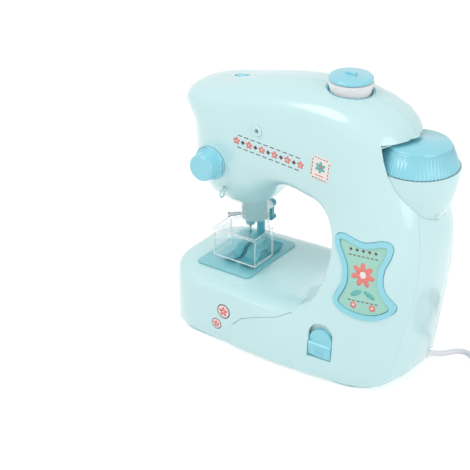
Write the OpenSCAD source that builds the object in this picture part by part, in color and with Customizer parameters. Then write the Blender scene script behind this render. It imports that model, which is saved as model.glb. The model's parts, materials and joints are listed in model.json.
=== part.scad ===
/* [Overall] */
// Length over the nose and the hand-wheel cup
length = 194; // [180:1:210]
// Half depth of the base
base_half = 46; // [42:0.5:52]
// Half depth of the arm
arm_half = 31.5; // [30:0.5:34]
// Height of the sewing bed
bed_h = 46; // [42:0.5:50]
// Height of the underside of the arm
arm_z = 118; // [114:0.5:122]
// Height of the arm, from its underside to its ridge
arm_tall = 69; // [66:0.5:72]
// Distance from the middle of the base to the column's inner face
throat_x = 29; // [25:0.5:32]
// Wall thickness of the plastic shells
wall = 2.2; // [1.8:0.1:2.6]

/* [Hand wheel] */
// Radius of the wheel's lower rim
wheel_r = 26; // [24:0.25:27]
// Radius of the wheel's flat top
wheel_top_r = 20.5; // [18:0.25:22]
// Height of the wheel
wheel_h = 14.5; // [12:0.25:15]
// Number of grip ribs on the wheel
wheel_ribs = 60; // [40:2:72]
// Radius of the vertical wheel shaft
wheel_shaft_r = 2.5; // [2:0.1:3]

/* [Spool] */
// Radius of the spool cap
cap_r = 14; // [12:0.25:14.5]
// Radius of the spool pin
pin_r = 3; // [2.5:0.1:3.5]
// Height of the thread package
thread_h = 12.5; // [10:0.25:13]
// Loops in the outer layer of thread
thread_loops = 13; // [8:1:14]
// Radius of the thread
thread_r = 0.24; // [0.2:0.01:0.26]

/* [Needle and presser] */
// Needle stroke
stroke = 13; // [10:0.5:14]
// Radius of the needle bar
needle_bar_r = 2; // [1.6:0.1:2.4]
// Radius of the presser bar
presser_bar_r = 2.7; // [2.2:0.1:2.9]
// Travel of the presser foot
lift = 5; // [3:0.5:6]
// Radius of the round neck under the head
neck_r = 9.6; // [9.2:0.1:10.4]
// Width of the presser foot's sole
sole_w = 24; // [20:0.5:25]
// Length of the presser foot's sole
sole_l = 38; // [30:1:40]

/* [Controls] */
// Radius of the tension dial's flange
dial_r = 11.5; // [9:0.25:12]
// Depth of the tension dial
dial_d = 11.5; // [9:0.5:13]
// Width of the switch slider
slider_w = 16.4; // [13:0.2:17]
// Height of the switch slider
slider_h = 20; // [17:0.5:21]
// Travel of the switch slider
slider_travel = 4; // [3:0.5:5]

/* [Gears] */
// Gear module
gear_m = 1; // [0.9:0.05:1.1]
// Teeth of the drive gear
drive_teeth = 20; // [18:1:21]
// Teeth of the motor pinion
pinion_teeth = 8; // [8:1:9]
// Teeth of the shaft pinion
shaft_teeth = 12; // [12:1:14]
// Teeth of the crown gear under the hand wheel
crown_teeth = 24; // [24:1:26]
// Radius of the main shaft
shaft_r = 1.5; // [1.2:0.1:1.8]

/* [Lead] */
// Radius of the power lead
cord_r = 1.75; // [1.5:0.05:1.75]
// Loops in the stored coil
coil_loops = 6; // [4:2:6]

/* [Hidden] */
$fn = 48;
mint = "#CEF0F2";
blue = "#96DEEC";
teal = "#50AFBB";
white = "#F5F2F4";
steel = "#B9BEC2";
grey = "#8A9096";
clear = [0.85, 0.95, 0.97, 0.45];

// Clearances: a shaft in its bore, a piece in its seat, and the parting line
run = 0.05;
seat = 0.3;
parting = 0.16;
through = 200;

// Reference places
left_x = -length / 2;
ridge_z = arm_z + arm_tall;
wheel_x = length / 2 - wheel_r - 1;
wheel_z = arm_z + 31;
spool_x = 21;
neck_x = left_x + 48;
needle_x = neck_x - 4;
presser_x = neck_x + 4.5;
foot_x = neck_x - 2;
dial_x = left_x + 33;
dial_z = 125;
base_right = 80;
shaft_z = arm_z + 16;
rim_z = 1;
plate_t = 3;

// Stations of the C-shaped body, from the left end of the base, round the column, to the nose.
// Each holds the inner point (x, z), the outer point (x, z), the half depth, where the outer dome starts,
// its power, where the inner rounding starts, its power, the angle of the parting line, and how far the
// wall under the dome stands back.
hb = base_half;
ha = arm_half;
tx = throat_x;
keys = [
  [left_x + 0.5, bed_h - 3, left_x + 0.5, 4, hb - 28, 0.5, 6, -0.5, 5, 0, 0],
  [left_x + 4, bed_h - 0.5, left_x + 4, rim_z, hb - 17, 0.5, 7, -0.5, 5, 0, 0],
  [left_x + 13, bed_h, left_x + 13, rim_z, hb - 6, 0.5, 8, -0.5, 5, 0, 0],
  [left_x + 29, bed_h, left_x + 29, rim_z, hb - 1, 0.5, 8, -0.5, 5, 0, 0],
  [-40, bed_h, -38, rim_z, hb + 1, 0.5, 8, -0.5, 5, 0, 0],
  [-14, bed_h, -2, rim_z, hb + 2.5, 0.5, 8, -0.5, 5, 0, 0],
  [3, bed_h + 1.5, 36, rim_z, hb + 0.5, 0.5, 8, -0.6, 4, 8, 0],
  [tx - 15, bed_h + 8, 62, rim_z, hb - 2, 0.4, 6, -0.7, 3, 34, 0],
  [tx - 7, bed_h + 18, base_right + 1, 7, hb - 3.5, 0.2, 2.6, -0.8, 2.6, 42, 0],
  [tx - 2, bed_h + 31, base_right + 6.5, 38, hb - 5, 0.2, 2.2, -0.8, 2.5, 40, 0],
  [tx, arm_z - 28, base_right + 11.5, 78, ha + 7, 0.25, 2.2, -0.8, 2.5, 36, 0],
  [tx - 1, arm_z - 16, base_right + 11, 106, ha + 5, 0.25, 2.2, -0.8, 2.5, 36, 0],
  [tx - 6.5, arm_z - 6, base_right + 4, arm_z + 15, ha + 3, 0.2, 2.1, -0.75, 2.5, 30, 0],
  [tx - 15, arm_z - 1.5, 69, ridge_z - 22, ha + 1.5, 0.1, 2.1, -0.7, 2.5, 0, 0],
  [tx - 25, arm_z, 56, ridge_z - 8, ha + 1, 0.25, 2.4, -0.7, 2.5, 0, 0],
  [tx - 37, arm_z + 0.5, 25, ridge_z, ha + 0.5, 0.35, 2.8, -0.6, 2.5, 0, 0],
  [-20, arm_z - 6, -8, ridge_z - 0.5, ha, 0.42, 2.7, -0.4, 2.2, 0, 0],
  [-33, arm_z - 21, -34, ridge_z - 4, ha, 0.56, 2.5, -0.1, 1.8, 0, 0.3],
  [neck_x, arm_z - 31, neck_x - 8, ridge_z - 9.5, ha - 0.5, 0.68, 2.4, 0.1, 1.8, 0, 0.8],
  [left_x + 31, arm_z - 31, left_x + 25, ridge_z - 12.5, ha - 1.5, 0.72, 2.3, 0.25, 2, 0, 2.5],
  [left_x + 16, arm_z - 25.5, left_x + 14, ridge_z - 15, ha - 5.5, 0.74, 2.2, 0.35, 2.2, 0, 5.5],
  [left_x + 8.5, arm_z - 12, left_x + 5.5, ridge_z - 18.5, ha - 12, 0.72, 2.2, 0.4, 2.4, 0, 8],
  [left_x + 5, arm_z + 6, left_x, ridge_z - 23.5, ha - 20, 0.55, 2.2, 0.3, 2.4, 0, 8],
];
steps = 2;
quarter = 6;

// A smooth curve through the stations
function curve(a, b, c, d, u) =
  0.5 * (2 * b + (c - a) * u + (2 * a - 5 * b + 4 * c - d) * u * u + (3 * b - a - 3 * c + d) * u * u * u);
function stations(rows) = [
  for (i = [0 : len(rows) - 2], j = [0 : steps - 1])
    curve(rows[max(i - 1, 0)], rows[i], rows[i + 1], rows[min(i + 2, len(rows) - 1)], j / steps),
  rows[len(rows) - 1]
];
function bend(v, n) = sign(v) * pow(abs(v), 2 / n);

// Half a ring round one station, on the side of the sign, inset by a skin thickness
function half_ring(s, side, inset, gap) =
  let (
    inner = [s[0], s[1]],
    outer = [s[2], s[3]],
    way = (outer - inner) / norm(outer - inner),
    a = inner + way * inset,
    b = outer - way * inset,
    h = s[4] - inset,
    start = side < 0 ? s[9] : -s[9]
  )
  [
    for (k = [0 : 2 * quarter + 1])
      let (
        out = k <= quarter,
        t = out ? start + (90 - start) * k / quarter : 90 * (2 * quarter + 1 - k) / quarter,
        c = out ? s[5] + (1 - s[5]) * bend(cos(t), s[6]) : s[7] - (1 + s[7]) * bend(cos(t), s[8]),
        y = (out ? h : h - s[10]) * bend(sin(t), out ? s[6] : s[8]),
        p = (a + b) / 2 + (b - a) / 2 * c
      )
      [max(p[0], left_x + 2 * inset), side * (y + gap / 2), p[1]]
  ];
function flip(faces, side) = side > 0 ? faces : [for (f = faces) [for (i = [len(f) - 1 : -1 : 0]) f[i]]];
function both(q) = [[q[0], q[1], q[2]], [q[0], q[2], q[3]]];
// A four-sided patch cut along its shorter diagonal, so a twisted skin stays smooth
function split(q, p) =
  norm(p[q[0]] - p[q[2]]) <= norm(p[q[1]] - p[q[3]]) ? both(q) : both([q[1], q[2], q[3], q[0]]);

// One half shell: outer and inner skins, closed along the parting line and at both ends
module half_shell(side) {
  st = stations(keys);
  n = len(st);
  m = 2 * quarter + 2;
  outer = [for (s = st) each half_ring(s, side, 0, parting)];
  inner = [
    for (i = [0 : n - 1]) each
      [for (p = half_ring(st[i], side, wall, parting)) p + [i == n - 1 ? wall * 1.3 : 0, 0, 0]]
  ];
  skin = [
    for (i = [0 : n - 2], j = [0 : m - 2])
      [i * m + j, (i + 1) * m + j, (i + 1) * m + j + 1, i * m + j + 1]
  ];
  k = n * m;
  e = (n - 1) * m;
  points = concat(outer, inner);
  faces = [
    for (q = skin) each split(q, points),
    for (q = skin) each split([q[3] + k, q[2] + k, q[1] + k, q[0] + k], points),
    for (i = [0 : n - 2]) each both([(i + 1) * m, i * m, i * m + k, (i + 1) * m + k]),
    for (i = [0 : n - 2])
      each both([i * m + m - 1, (i + 1) * m + m - 1, (i + 1) * m + m - 1 + k, i * m + m - 1 + k]),
    for (j = [1 : m - 2]) [0, j, j + 1],
    for (j = [1 : m - 2]) [k + j + 1, k + j, k],
    for (j = [1 : m - 2]) [e, e + j + 1, e + j],
    for (j = [1 : m - 2]) [k + e + j, k + e + j + 1, k + e],
    each both([0, m - 1, m - 1 + k, k]),
    each both([e + m - 1, e, e + k, e + m - 1 + k]),
  ];
  polyhedron(points = points, faces = flip(faces, side));
}

// The base end as one closed-ended tube, standing back a little from the shells beside it
bed_step = 0.7;
module base_tube() {
  rows = stations([for (i = [0 : 8]) keys[i]]);
  st = [for (s = rows) [for (v = [0 : 10]) v == 4 ? s[4] - bed_step : v == 9 ? 0 : s[v]]];
  n = len(st);
  h = 2 * quarter + 2;
  m = 2 * h - 2;
  function ring(s, inset) =
    let (f = half_ring(s, -1, inset, 0), r = half_ring(s, 1, inset, 0))
    concat(f, [for (j = [h - 2 : -1 : 1]) r[j]]);
  outer = [for (s = st) each ring(s, 0)];
  inner = [for (s = st) each ring(s, wall)];
  skin = [
    for (i = [0 : n - 2], j = [0 : m - 1])
      [i * m + j, (i + 1) * m + j, (i + 1) * m + (j + 1) % m, i * m + (j + 1) % m]
  ];
  k = n * m;
  e = (n - 1) * m;
  points = concat(outer, inner);
  faces = [
    for (q = skin) each split(q, points),
    for (q = skin) each split([q[3] + k, q[2] + k, q[1] + k, q[0] + k], points),
    for (j = [1 : m - 2]) [0, j, j + 1],
    for (j = [1 : m - 2]) [k + j + 1, k + j, k],
    for (j = [0 : m - 1]) each both([e + (j + 1) % m, e + j, e + j + k, e + (j + 1) % m + k]),
  ];
  polyhedron(points = points, faces = flip(faces, -1));
}

// Side outline of the bed cover: left of a short upright, then over a rising sweep to the column
sweep_x = -38;
module bed_outline(grow) {
  polygon([
    [left_x - 20, -20], [sweep_x - grow, -20], [sweep_x - grow, 12], [sweep_x + 3 - grow, 20 + grow],
    [sweep_x + 10, 27 + grow], [sweep_x + 22, 32.5 + grow], [sweep_x + 38, 38 + grow],
    [sweep_x + 48, bed_h - 2 + grow], [sweep_x + 54 - grow, bed_h + 8 - grow], [left_x - 20, bed_h + 8 - grow],
  ]);
}
module along_y(y0, y1) translate([0, y1, 0]) rotate([90, 0, 0]) linear_extrude(y1 - y0) children();

// Plan of the base, inset from its edge
left_corner = 24;
right_corner = 33;
module base_plan(inset) {
  hull() {
    for (s = [-1, 1]) {
      translate([left_x + left_corner + 3, s * (hb - left_corner)]) circle(left_corner - inset, $fn = 32);
      translate([base_right - right_corner - 3, s * (hb - right_corner)])
        circle(right_corner - inset, $fn = 32);
    }
  }
}
rim_inset = 5;
module base_mouth() translate([0, 0, -10]) linear_extrude(10 + plate_t + 2) base_plan(rim_inset);

// Crown gear and its pinion set the height of the cup's floor
crown_r = gear_m * crown_teeth / 2;
shaft_pitch = gear_m * shaft_teeth / 2;
gear_gap = 0.4;
crown_z = shaft_z + shaft_pitch + gear_gap;
crown_top = crown_z + 1.25 * gear_m + 1.6;

// Cup under the hand wheel
cup_floor = crown_top + 2.9;
cup_r = wheel_r + 1;
cup_top = wheel_z - 0.3;
cup_line = [
  [cup_r, cup_top], [cup_r - 0.4, cup_top - 6.7], [cup_r - 1.7, cup_top - 14.7],
  [cup_r - 4.2, cup_top - 23.7], [cup_r - 8, cup_top - 31.2], [cup_r - 15, cup_top - 36.7]];
module cup_solid(grow)
  translate([wheel_x, 0, 0]) rotate_extrude()
    polygon(concat([[0, cup_top]], [for (p = cup_line) [p[0] + grow, p[1]]], [[0, cup_top - 39.7 - grow]]));
// Room for the wheel, roofed by the arm
roof_gap = 1.5;
module wheel_room() {
  cup_solid(0.2);
  translate([wheel_x, 0, cup_top - 1]) cylinder(r = wheel_r + 1.4, h = wheel_h + 2.3 + roof_gap);
}
module wheel_cup() color(mint) difference() {
  translate([wheel_x, 0, 0]) rotate_extrude()
    polygon(concat(
      [for (p = cup_line) p], [[3, cup_top - 38.9], [3, cup_top - 36.5]],
      [for (i = [len(cup_line) - 1 : -1 : 2]) [cup_line[i][0] - wall, cup_line[i][1] + 1]],
      [[cup_r - wall - 0.6, cup_floor - 2.4], [wheel_shaft_r + run, cup_floor - 2.4]],
      [[wheel_shaft_r + run, cup_floor]],
      [[cup_r - wall, cup_floor], [cup_r - wall, cup_top]]));
  translate([wheel_x - 40, 0, shaft_z]) rotate([0, 90, 0]) cylinder(r = shaft_r + run, h = 30);
}

module hand_wheel() color(blue) translate([wheel_x, 0, wheel_z]) {
  difference() {
    linear_extrude(wheel_h - 2, scale = (wheel_top_r + 0.6) / wheel_r)
      polygon([
        for (i = [0 : 2 * wheel_ribs - 1])
          let (a = 180 * i / wheel_ribs, r = wheel_r - (i % 2) * 0.7)
          [r * cos(a), r * sin(a)]
      ]);
    translate([0, 0, -1]) cylinder(r1 = wheel_r - 2.4, r2 = wheel_top_r - 2.6, h = wheel_h - 2);
  }
  rotate_extrude() polygon([
    [0, wheel_h - 2.5], [wheel_top_r - 0.6, wheel_h - 2.5], [wheel_top_r - 0.3, wheel_h - 0.8],
    [wheel_top_r - 1.2, wheel_h], [0, wheel_h]]);
  difference() {
    cylinder(r = wheel_shaft_r + 3, h = wheel_h - 2);
    translate([0, 0, -1]) cylinder(r = wheel_shaft_r + run, h = 9);
  }
}
pinion_x = wheel_x - crown_r;
tooth_w = gear_m * 3.1416;
module wheel_shaft() color(steel)
  translate([wheel_x, 0, crown_z + 0.2]) cylinder(r = wheel_shaft_r, h = wheel_z + 7 - crown_z);
module crown_gear() color(white) translate([wheel_x, 0, crown_z]) difference() {
  union() {
    translate([0, 0, 1.25 * gear_m]) cylinder(r = crown_r + 2, h = 1.6);
    for (i = [0 : crown_teeth - 1]) rotate(180 + (i + 0.5) * 360 / crown_teeth)
      translate([crown_r - 2, 0, 0]) rotate([90, 0, 90]) linear_extrude(4)
        polygon([[-0.13 * tooth_w, -0.85 * gear_m], [0.13 * tooth_w, -0.85 * gear_m],
          [0.27 * tooth_w, 1.5 * gear_m], [-0.27 * tooth_w, 1.5 * gear_m]]);
  }
  translate([0, 0, -5]) cylinder(r = wheel_shaft_r + run, h = 20);
}

// Spur gear outline with straight flanks and backlash
module spur(teeth) {
  r = gear_m * teeth / 2;
  p = 360 / teeth;
  polygon([
    for (i = [0 : teeth - 1]) each [
      for (q = [[-0.28, -1.2], [-0.11, 0.85], [0.11, 0.85], [0.28, -1.2]])
        (r + q[1] * gear_m) * [cos((i + q[0]) * p), sin((i + q[0]) * p)]
    ]
  ]);
}
module along_x(x, y, z) translate([x, y, z]) rotate([0, 90, 0]) children();
crank_x = needle_x + 10;
module main_shaft() color(steel)
  along_x(crank_x, 0, shaft_z) cylinder(r = shaft_r, h = pinion_x + 3 - crank_x);
module shaft_pinion() color(white) along_x(pinion_x - 2, 0, shaft_z) linear_extrude(3.4) difference() {
  rotate(180) spur(shaft_teeth);
  circle(shaft_r + run);
}
gear_x = -7;
gear_w = 5;
module drive_gear() color(white) along_x(gear_x, 0, shaft_z) linear_extrude(gear_w) difference() {
  rotate(90) spur(drive_teeth);
  circle(shaft_r + run);
}
motor_y = gear_m * (drive_teeth + pinion_teeth) / 2;
motor_x = 2.5;
motor_r = 10;
motor_l = 25;
module motor_pinion() color(steel) {
  along_x(gear_x - 0.5, motor_y, shaft_z) linear_extrude(gear_w + 1)
    rotate(-90 + 180 / pinion_teeth) spur(pinion_teeth);
  along_x(gear_x - 0.5, motor_y, shaft_z) cylinder(r = 1, h = motor_x + 6 - gear_x);
}
module motor() color(grey) difference() {
  intersection() {
    along_x(motor_x, motor_y, shaft_z) cylinder(r = motor_r, h = motor_l);
    translate([0, motor_y, shaft_z]) cube([through, through, 15.4], center = true);
  }
  along_x(motor_x - 1, motor_y, shaft_z) cylinder(r = 1 + run, h = 9);
}
frame_x = -12;
frame_end = 16;
floor_z = arm_z + wall + 1;
module gear_frame() color(steel) difference() {
  union() {
    translate([frame_x, -8, floor_z]) cube([frame_end - frame_x, 16, 1.3]);
    for (x = [frame_x, frame_end - 2.4])
      translate([x, -5, floor_z]) cube([2.4, 8.6, shaft_z - floor_z + 5]);
    translate([motor_x - 2, 4, floor_z]) cube([2, 4, 6]);
    translate([motor_x - 2, 4, floor_z + 5]) cube([2, motor_y + 4, shaft_z - floor_z]);
  }
  along_x(frame_x - 5, 0, shaft_z) cylinder(r = shaft_r + 1 + run, h = through);
  along_x(motor_x - 5, motor_y, shaft_z) cylinder(r = 2.5, h = 10);
}
module shaft_bushes() color("#B08D4A")
  for (x = [frame_x, frame_end - 2.4]) along_x(x - 0.6, 0, shaft_z) difference() {
    cylinder(r = shaft_r + 1, h = 3.6);
    translate([0, 0, -1]) cylinder(r = shaft_r + run, h = 6);
  }
crank_throw = stroke / 2;
module crank_disc() color(steel) {
  along_x(crank_x, 0, shaft_z) difference() {
    cylinder(r = crank_throw + 3, h = 3);
    translate([0, 0, -1]) cylinder(r = shaft_r + run, h = 5);
  }
  along_x(crank_x - 2.6, 0, shaft_z + crank_throw) cylinder(r = 1.5, h = 3);
}

// Neck with the two bars
neck_bottom = 78;
neck_top = arm_z - 17;
lever_y = neck_r + 3;
lever_z = neck_bottom + 5.5;
module needle_housing() color(mint) difference() {
  union() {
    translate([neck_x, 0, neck_bottom]) cylinder(r = neck_r, h = neck_top - neck_bottom);
    translate([presser_x, neck_r + 1.2, lever_z]) rotate([90, 0, 0]) cylinder(r = 3, h = 6);
    translate([neck_x, 0, neck_top - 2.8]) cylinder(r = neck_r + 3.6, h = 1.8);
  }
  translate([needle_x, 0, 0]) cylinder(r = needle_bar_r + run, h = through);
  translate([presser_x, 0, 0]) cylinder(r = presser_bar_r + run, h = through);
  translate([presser_x, through / 2, lever_z]) rotate([90, 0, 0])
    cylinder(r = 1.2, h = through / 2 - neck_r + 1.5);
}
clamp_z = 71;
yoke_z = shaft_z + crank_throw;
take_z = 148;
module needle_bar() color(steel)
  translate([needle_x, 0, clamp_z + 2]) cylinder(r = needle_bar_r, h = take_z + 6 - clamp_z);
module needle_yoke() color(steel) difference() {
  union() {
    translate([needle_x, 0, yoke_z - 4]) cylinder(r = needle_bar_r + 2, h = 8);
    translate([needle_x, -3, yoke_z - 4]) cube([crank_x - needle_x - 3, 6, 8]);
    translate([crank_x - 5.4, -crank_throw - 4, yoke_z - 4]) cube([2.4, 2 * crank_throw + 8, 8]);
  }
  translate([needle_x, 0, 0]) cylinder(r = needle_bar_r + run, h = through);
  translate([crank_x - 4.6, -crank_throw - 2, yoke_z - 2]) cube([3, 2 * crank_throw + 4, 4]);
}
take_x = needle_x - 7;
tip_z = ridge_z - 11.5;
module take_up() color(blue) difference() {
  union() {
    translate([needle_x, 0, take_z]) cylinder(r = needle_bar_r + 2, h = 5);
    translate([take_x - 2, -1.8, take_z]) cube([needle_x - take_x + 2, 3.6, 5]);
    translate([take_x - 2, -1.8, take_z]) cube([4, 3.6, tip_z - take_z]);
    along_x(take_x - 2, 0, tip_z) cylinder(r = 2.1, h = 4);
    for (s = [-2, 2]) translate([take_x + s, 0, tip_z]) sphere(2.1);
  }
  translate([needle_x, 0, take_z - 1]) cylinder(r = needle_bar_r + run, h = 12);
}
module needle_clamp() color(teal) difference() {
  translate([needle_x, 0, clamp_z]) cylinder(r = needle_bar_r + 1.2, h = 5.5);
  translate([needle_x, 0, clamp_z + 2]) cylinder(r = needle_bar_r + run, h = 10);
  translate([needle_x, 0, clamp_z - 1]) cylinder(r = 0.8 + run, h = 5);
}
needle_tip = 60;
module needle() color(steel) translate([needle_x, 0, needle_tip]) {
  cylinder(r1 = 0.15, r2 = 0.6, h = 4);
  translate([0, 0, 4]) cylinder(r = 0.6, h = 5);
  translate([0, 0, 9]) cylinder(r = 0.8, h = clamp_z + 1.8 - needle_tip - 9);
}

// Presser bar and foot
plate_z = bed_h + 0.1;
plate_top = plate_z + 1;
sole_z = plate_top + 0.4;
collar_r = presser_bar_r + 1.4;
foot_top = 64;
module presser_bar() color(teal)
  translate([presser_x, 0, foot_top - 6]) cylinder(r = presser_bar_r, h = neck_top + 12 - foot_top);
module presser_foot() color(teal) difference() {
  union() {
    translate([foot_x, 0, 0]) rotate([90, 0, 90]) translate([0, 0, -sole_w / 2])
      linear_extrude(sole_w) polygon([
        [-sole_l / 2, sole_z + 3.4], [-sole_l / 2 + 1, sole_z + 3.8], [-sole_l / 2 + 6, sole_z + 2],
        [sole_l / 2 - 4, sole_z + 2], [sole_l / 2, sole_z + 4], [sole_l / 2 + 0.8, sole_z + 3],
        [sole_l / 2 - 3, sole_z], [-sole_l / 2 + 5, sole_z]]);
    translate([foot_x, 0, 0]) rotate([90, 0, 90]) translate([0, 0, -sole_w / 2 + 3])
      linear_extrude(sole_w - 5)
        polygon([[-10, sole_z + 1], [-4, sole_z + 8], [8, sole_z + 8], [10, sole_z + 1]]);
    translate([presser_x, 0, sole_z + 1]) cylinder(r = collar_r, h = foot_top - sole_z - 1);
    translate([presser_x, 0, foot_top - 3]) cylinder(r = collar_r + 0.5, h = 1.5);
  }
  translate([needle_x - 1.6, -through, 0]) cube([3.2, through + 2.2, through]);
  translate([foot_x + sole_w / 2 - 4, -3, sole_z + 3.2]) cube([10, 6, 3.2]);
  translate([presser_x, 0, foot_top - 6.1]) cylinder(r = presser_bar_r + run, h = 20);
}
module lifter_pin() color(steel) translate([presser_x, lever_y + 3.2, lever_z]) rotate([90, 0, 0]) {
  cylinder(r = 1.2 - run, h = lever_y + 3.2 - neck_r + 0.4);
  cylinder(r = 2, h = 0.8);
}
module lifter_lever() color(teal) difference() {
  union() {
    translate([presser_x, lever_y + 2, lever_z]) rotate([90, 0, 0]) cylinder(r = 2.8, h = 3);
    translate([presser_x - 1.2, lever_y - 0.9, lever_z - 11]) cube([2.4, 2.8, 11]);
    translate([presser_x, lever_y + 3.4, lever_z - 11]) rotate([90, 0, 0]) cylinder(r = 2, h = 4.4);
  }
  translate([presser_x, through / 2, lever_z]) rotate([90, 0, 0]) cylinder(r = 1.2, h = through);
}

// Clear finger guard: front and side walls, a top with a round cut-out, a split collar and a screw boss
guard_y = -sole_l / 2 - 2;
guard_l = foot_x - sole_w / 2 - 3.6;
guard_r = foot_x + sole_w / 2 + 3.6;
guard_top = neck_bottom - 5;
guard_low = sole_z + 4.6;
guard_t = 1.4;
collar_h = 5;
boss_a = 225;
module finger_guard() color(clear) difference() {
  union() {
    translate([guard_l, guard_y - guard_t, guard_low])
      cube([guard_r - guard_l, guard_t, guard_top - guard_low]);
    translate([guard_l - guard_t, guard_y - guard_t, guard_low]) cube([guard_t, 20, guard_top - guard_low]);
    translate([guard_r, guard_y - guard_t, guard_low]) cube([guard_t, 22, guard_top - guard_low]);
    translate([guard_l - guard_t, guard_y - guard_t - 0.6, guard_top - guard_t])
      cube([guard_r - guard_l + 2 * guard_t, 22.6, guard_t + 0.6]);
    translate([neck_x, 0, guard_top - guard_t])
      cylinder(r = neck_r + seat + 1.6, h = neck_bottom + collar_h - guard_top + guard_t);
    translate([neck_x, 0, neck_bottom + 2.4]) rotate([90, 0, boss_a + 90])
      translate([0, 0, neck_r]) cylinder(r = 2.4, h = 8);
  }
  translate([neck_x, 0, guard_top - 10]) cylinder(r = neck_r + seat, h = 40);
  translate([neck_x - 2, 0, guard_top - 10]) cube([60, 60, 60]);
  translate([neck_x, 0, neck_bottom + 2.4]) rotate([90, 0, boss_a + 90]) cylinder(r = 1.1 + run, h = 40);
}
module guard_screw() color(steel) translate([neck_x, 0, neck_bottom + 2.4]) rotate([90, 0, boss_a + 90])
  translate([0, 0, neck_r + 0.3]) {
    cylinder(r = 1.1, h = 9);
    translate([0, 0, 7.9]) cylinder(r = 1.9, h = 1.2);
  }

// The body's outer skin as a solid between two stations, moved in by an inset
module skin_solid(first, last, inset) {
  st = stations([for (i = [first : last]) keys[i]]);
  n = len(st);
  h = 2 * quarter + 2;
  m = 2 * h - 2;
  function ring(s) =
    let (f = half_ring(s, -1, inset, 0), r = half_ring(s, 1, inset, 0))
    concat(f, [for (j = [h - 2 : -1 : 1]) r[j]]);
  e = (n - 1) * m;
  points = [for (s = st) each ring(s)];
  faces = [
    for (i = [0 : n - 2], j = [0 : m - 1])
      each split([i * m + j, (i + 1) * m + j, (i + 1) * m + (j + 1) % m, i * m + (j + 1) % m], points),
    for (j = [1 : m - 2]) [0, j, j + 1],
    for (j = [1 : m - 2]) [e, e + j + 1, e + j],
  ];
  polyhedron(points = points, faces = flip(faces, -1));
}
module front_axis(x, z, y) translate([x, y, z]) rotate([90, 0, 0]) children();

// Tension dial on its stud
pad_y = ha - 1.1;
module dial_stud() color(grey) {
  front_axis(dial_x, dial_z, -pad_y + 10.7) cylinder(r = 3, h = dial_d + 8.5);
  front_axis(dial_x, dial_z, -pad_y + 10.7) cylinder(r = 5, h = 2);
}
module tension_dial() color(blue) front_axis(dial_x, dial_z, -pad_y - 0.35) rotate_extrude()
  polygon([[3 + run, 0], [dial_r, 0], [dial_r, 1.6], [dial_r - 0.7, 2.2], [dial_r - 2, 2.4],
    [dial_r - 2.4, dial_d - 1], [dial_r - 3.4, dial_d], [0, dial_d], [0, dial_d - 2.4],
    [3 + run, dial_d - 2.4]]);

// Thread guides
eye_x = -27;
eye_z = 157;
low_x = -59;
low_z = arm_z - 14;
module thread_guide_upper() color(mint) front_axis(eye_x, eye_z, -ha + 5) rotate_extrude()
  polygon([[1.5, 0], [2.4, 0], [2.4, 5.1], [3.6, 5.1], [3.6, 5.8], [3, 6.4], [2, 6.4], [1.5, 5.9]]);
module low_axis() translate([low_x, -ha + 10, low_z]) rotate([130, 0, 0]) children();
module thread_guide_lower() color(mint) low_axis() {
  translate([0, 0, -4]) cylinder(r = 1.4, h = 6);
  translate([0, 0, 4]) rotate([0, 90, 0]) rotate_extrude() translate([2.4, 0]) circle(0.7, $fn = 16);
}

// Spool in its seat
seat_z = ridge_z - 11.8;
seat_r = cap_r + 1.3;
spool_z = seat_z + 2.8;
thread_z = spool_z + 1.5;
cap_z = thread_z + thread_h + 0.5;
barrel_low = cap_r - 3;
barrel_top = cap_r + 0.3;
module spool_seat() color(blue) intersection() {
  translate([spool_x, 0, seat_z]) difference() {
    cylinder(r = seat_r, h = 20);
    translate([0, 0, 1.6]) cylinder(r = seat_r - 1, h = 20);
    translate([0, 0, -1]) cylinder(r = 2 + run, h = 5);
  }
  skin_solid(12, 18, 0.3);
}
module spool_pin() color(white) translate([spool_x, 0, seat_z]) {
  translate([0, 0, 1.65]) cylinder(r = 6, h = 0.8);
  translate([0, 0, 2]) cylinder(r = pin_r, h = cap_z + 1.6 - seat_z - 2);
  translate([0, 0, -1.5]) cylinder(r = 2, h = 4);
}
module spool_core() color(blue) translate([spool_x, 0, spool_z]) difference() {
  union() {
    cylinder(r = cap_r - 1, h = 1.2);
    cylinder(r = pin_r + 1.5, h = cap_z - spool_z - 0.4);
  }
  translate([0, 0, -1]) cylinder(r = pin_r + run, h = 40);
}
module thread_barrel() color(white) translate([spool_x, 0, thread_z]) difference() {
  cylinder(r1 = barrel_low - 0.16, r2 = barrel_top - 0.16, h = thread_h);
  translate([0, 0, -1]) cylinder(r = pin_r + 1.5 + run, h = 40);
}
module spool_cap() color(blue) translate([spool_x, 0, cap_z]) {
  difference() {
    rotate_extrude()
      polygon([[0, 0], [cap_r - 0.5, 0], [cap_r, 0.6], [cap_r, 1.8], [cap_r - 1, 2.7], [0, 3]]);
    translate([0, 0, -1]) cylinder(r = pin_r + run, h = 3);
  }
  translate([-3.4, -1.8, 2]) cube([6.8, 3.6, 3]);
}

// A tube swept along points, with flat ends square to its first and last steps
function unit(v) = v / norm(v);
function step(p, i) = unit(p[min(i + 1, len(p) - 1)] - p[max(i - 1, 0)]);
module tube(p, r, sides, up) {
  n = len(p);
  pts = [
    for (i = [0 : n - 1])
      let (d = step(p, i), a = unit(cross(up, d)), b = cross(d, a))
      for (k = [0 : sides - 1])
        p[i] + r * (cos(360 * k / sides) * a + sin(360 * k / sides) * b)
  ];
  polyhedron(points = pts, faces = [
    for (i = [0 : n - 2], k = [0 : sides - 1]) each both([i * sides + k, i * sides + (k + 1) % sides,
      (i + 1) * sides + (k + 1) % sides, (i + 1) * sides + k]),
    [for (k = [sides - 1 : -1 : 0]) k],
    [for (k = [0 : sides - 1]) (n - 1) * sides + k],
  ]);
}
function near(p, i, j) = norm(p[i] - p[j]);

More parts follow.
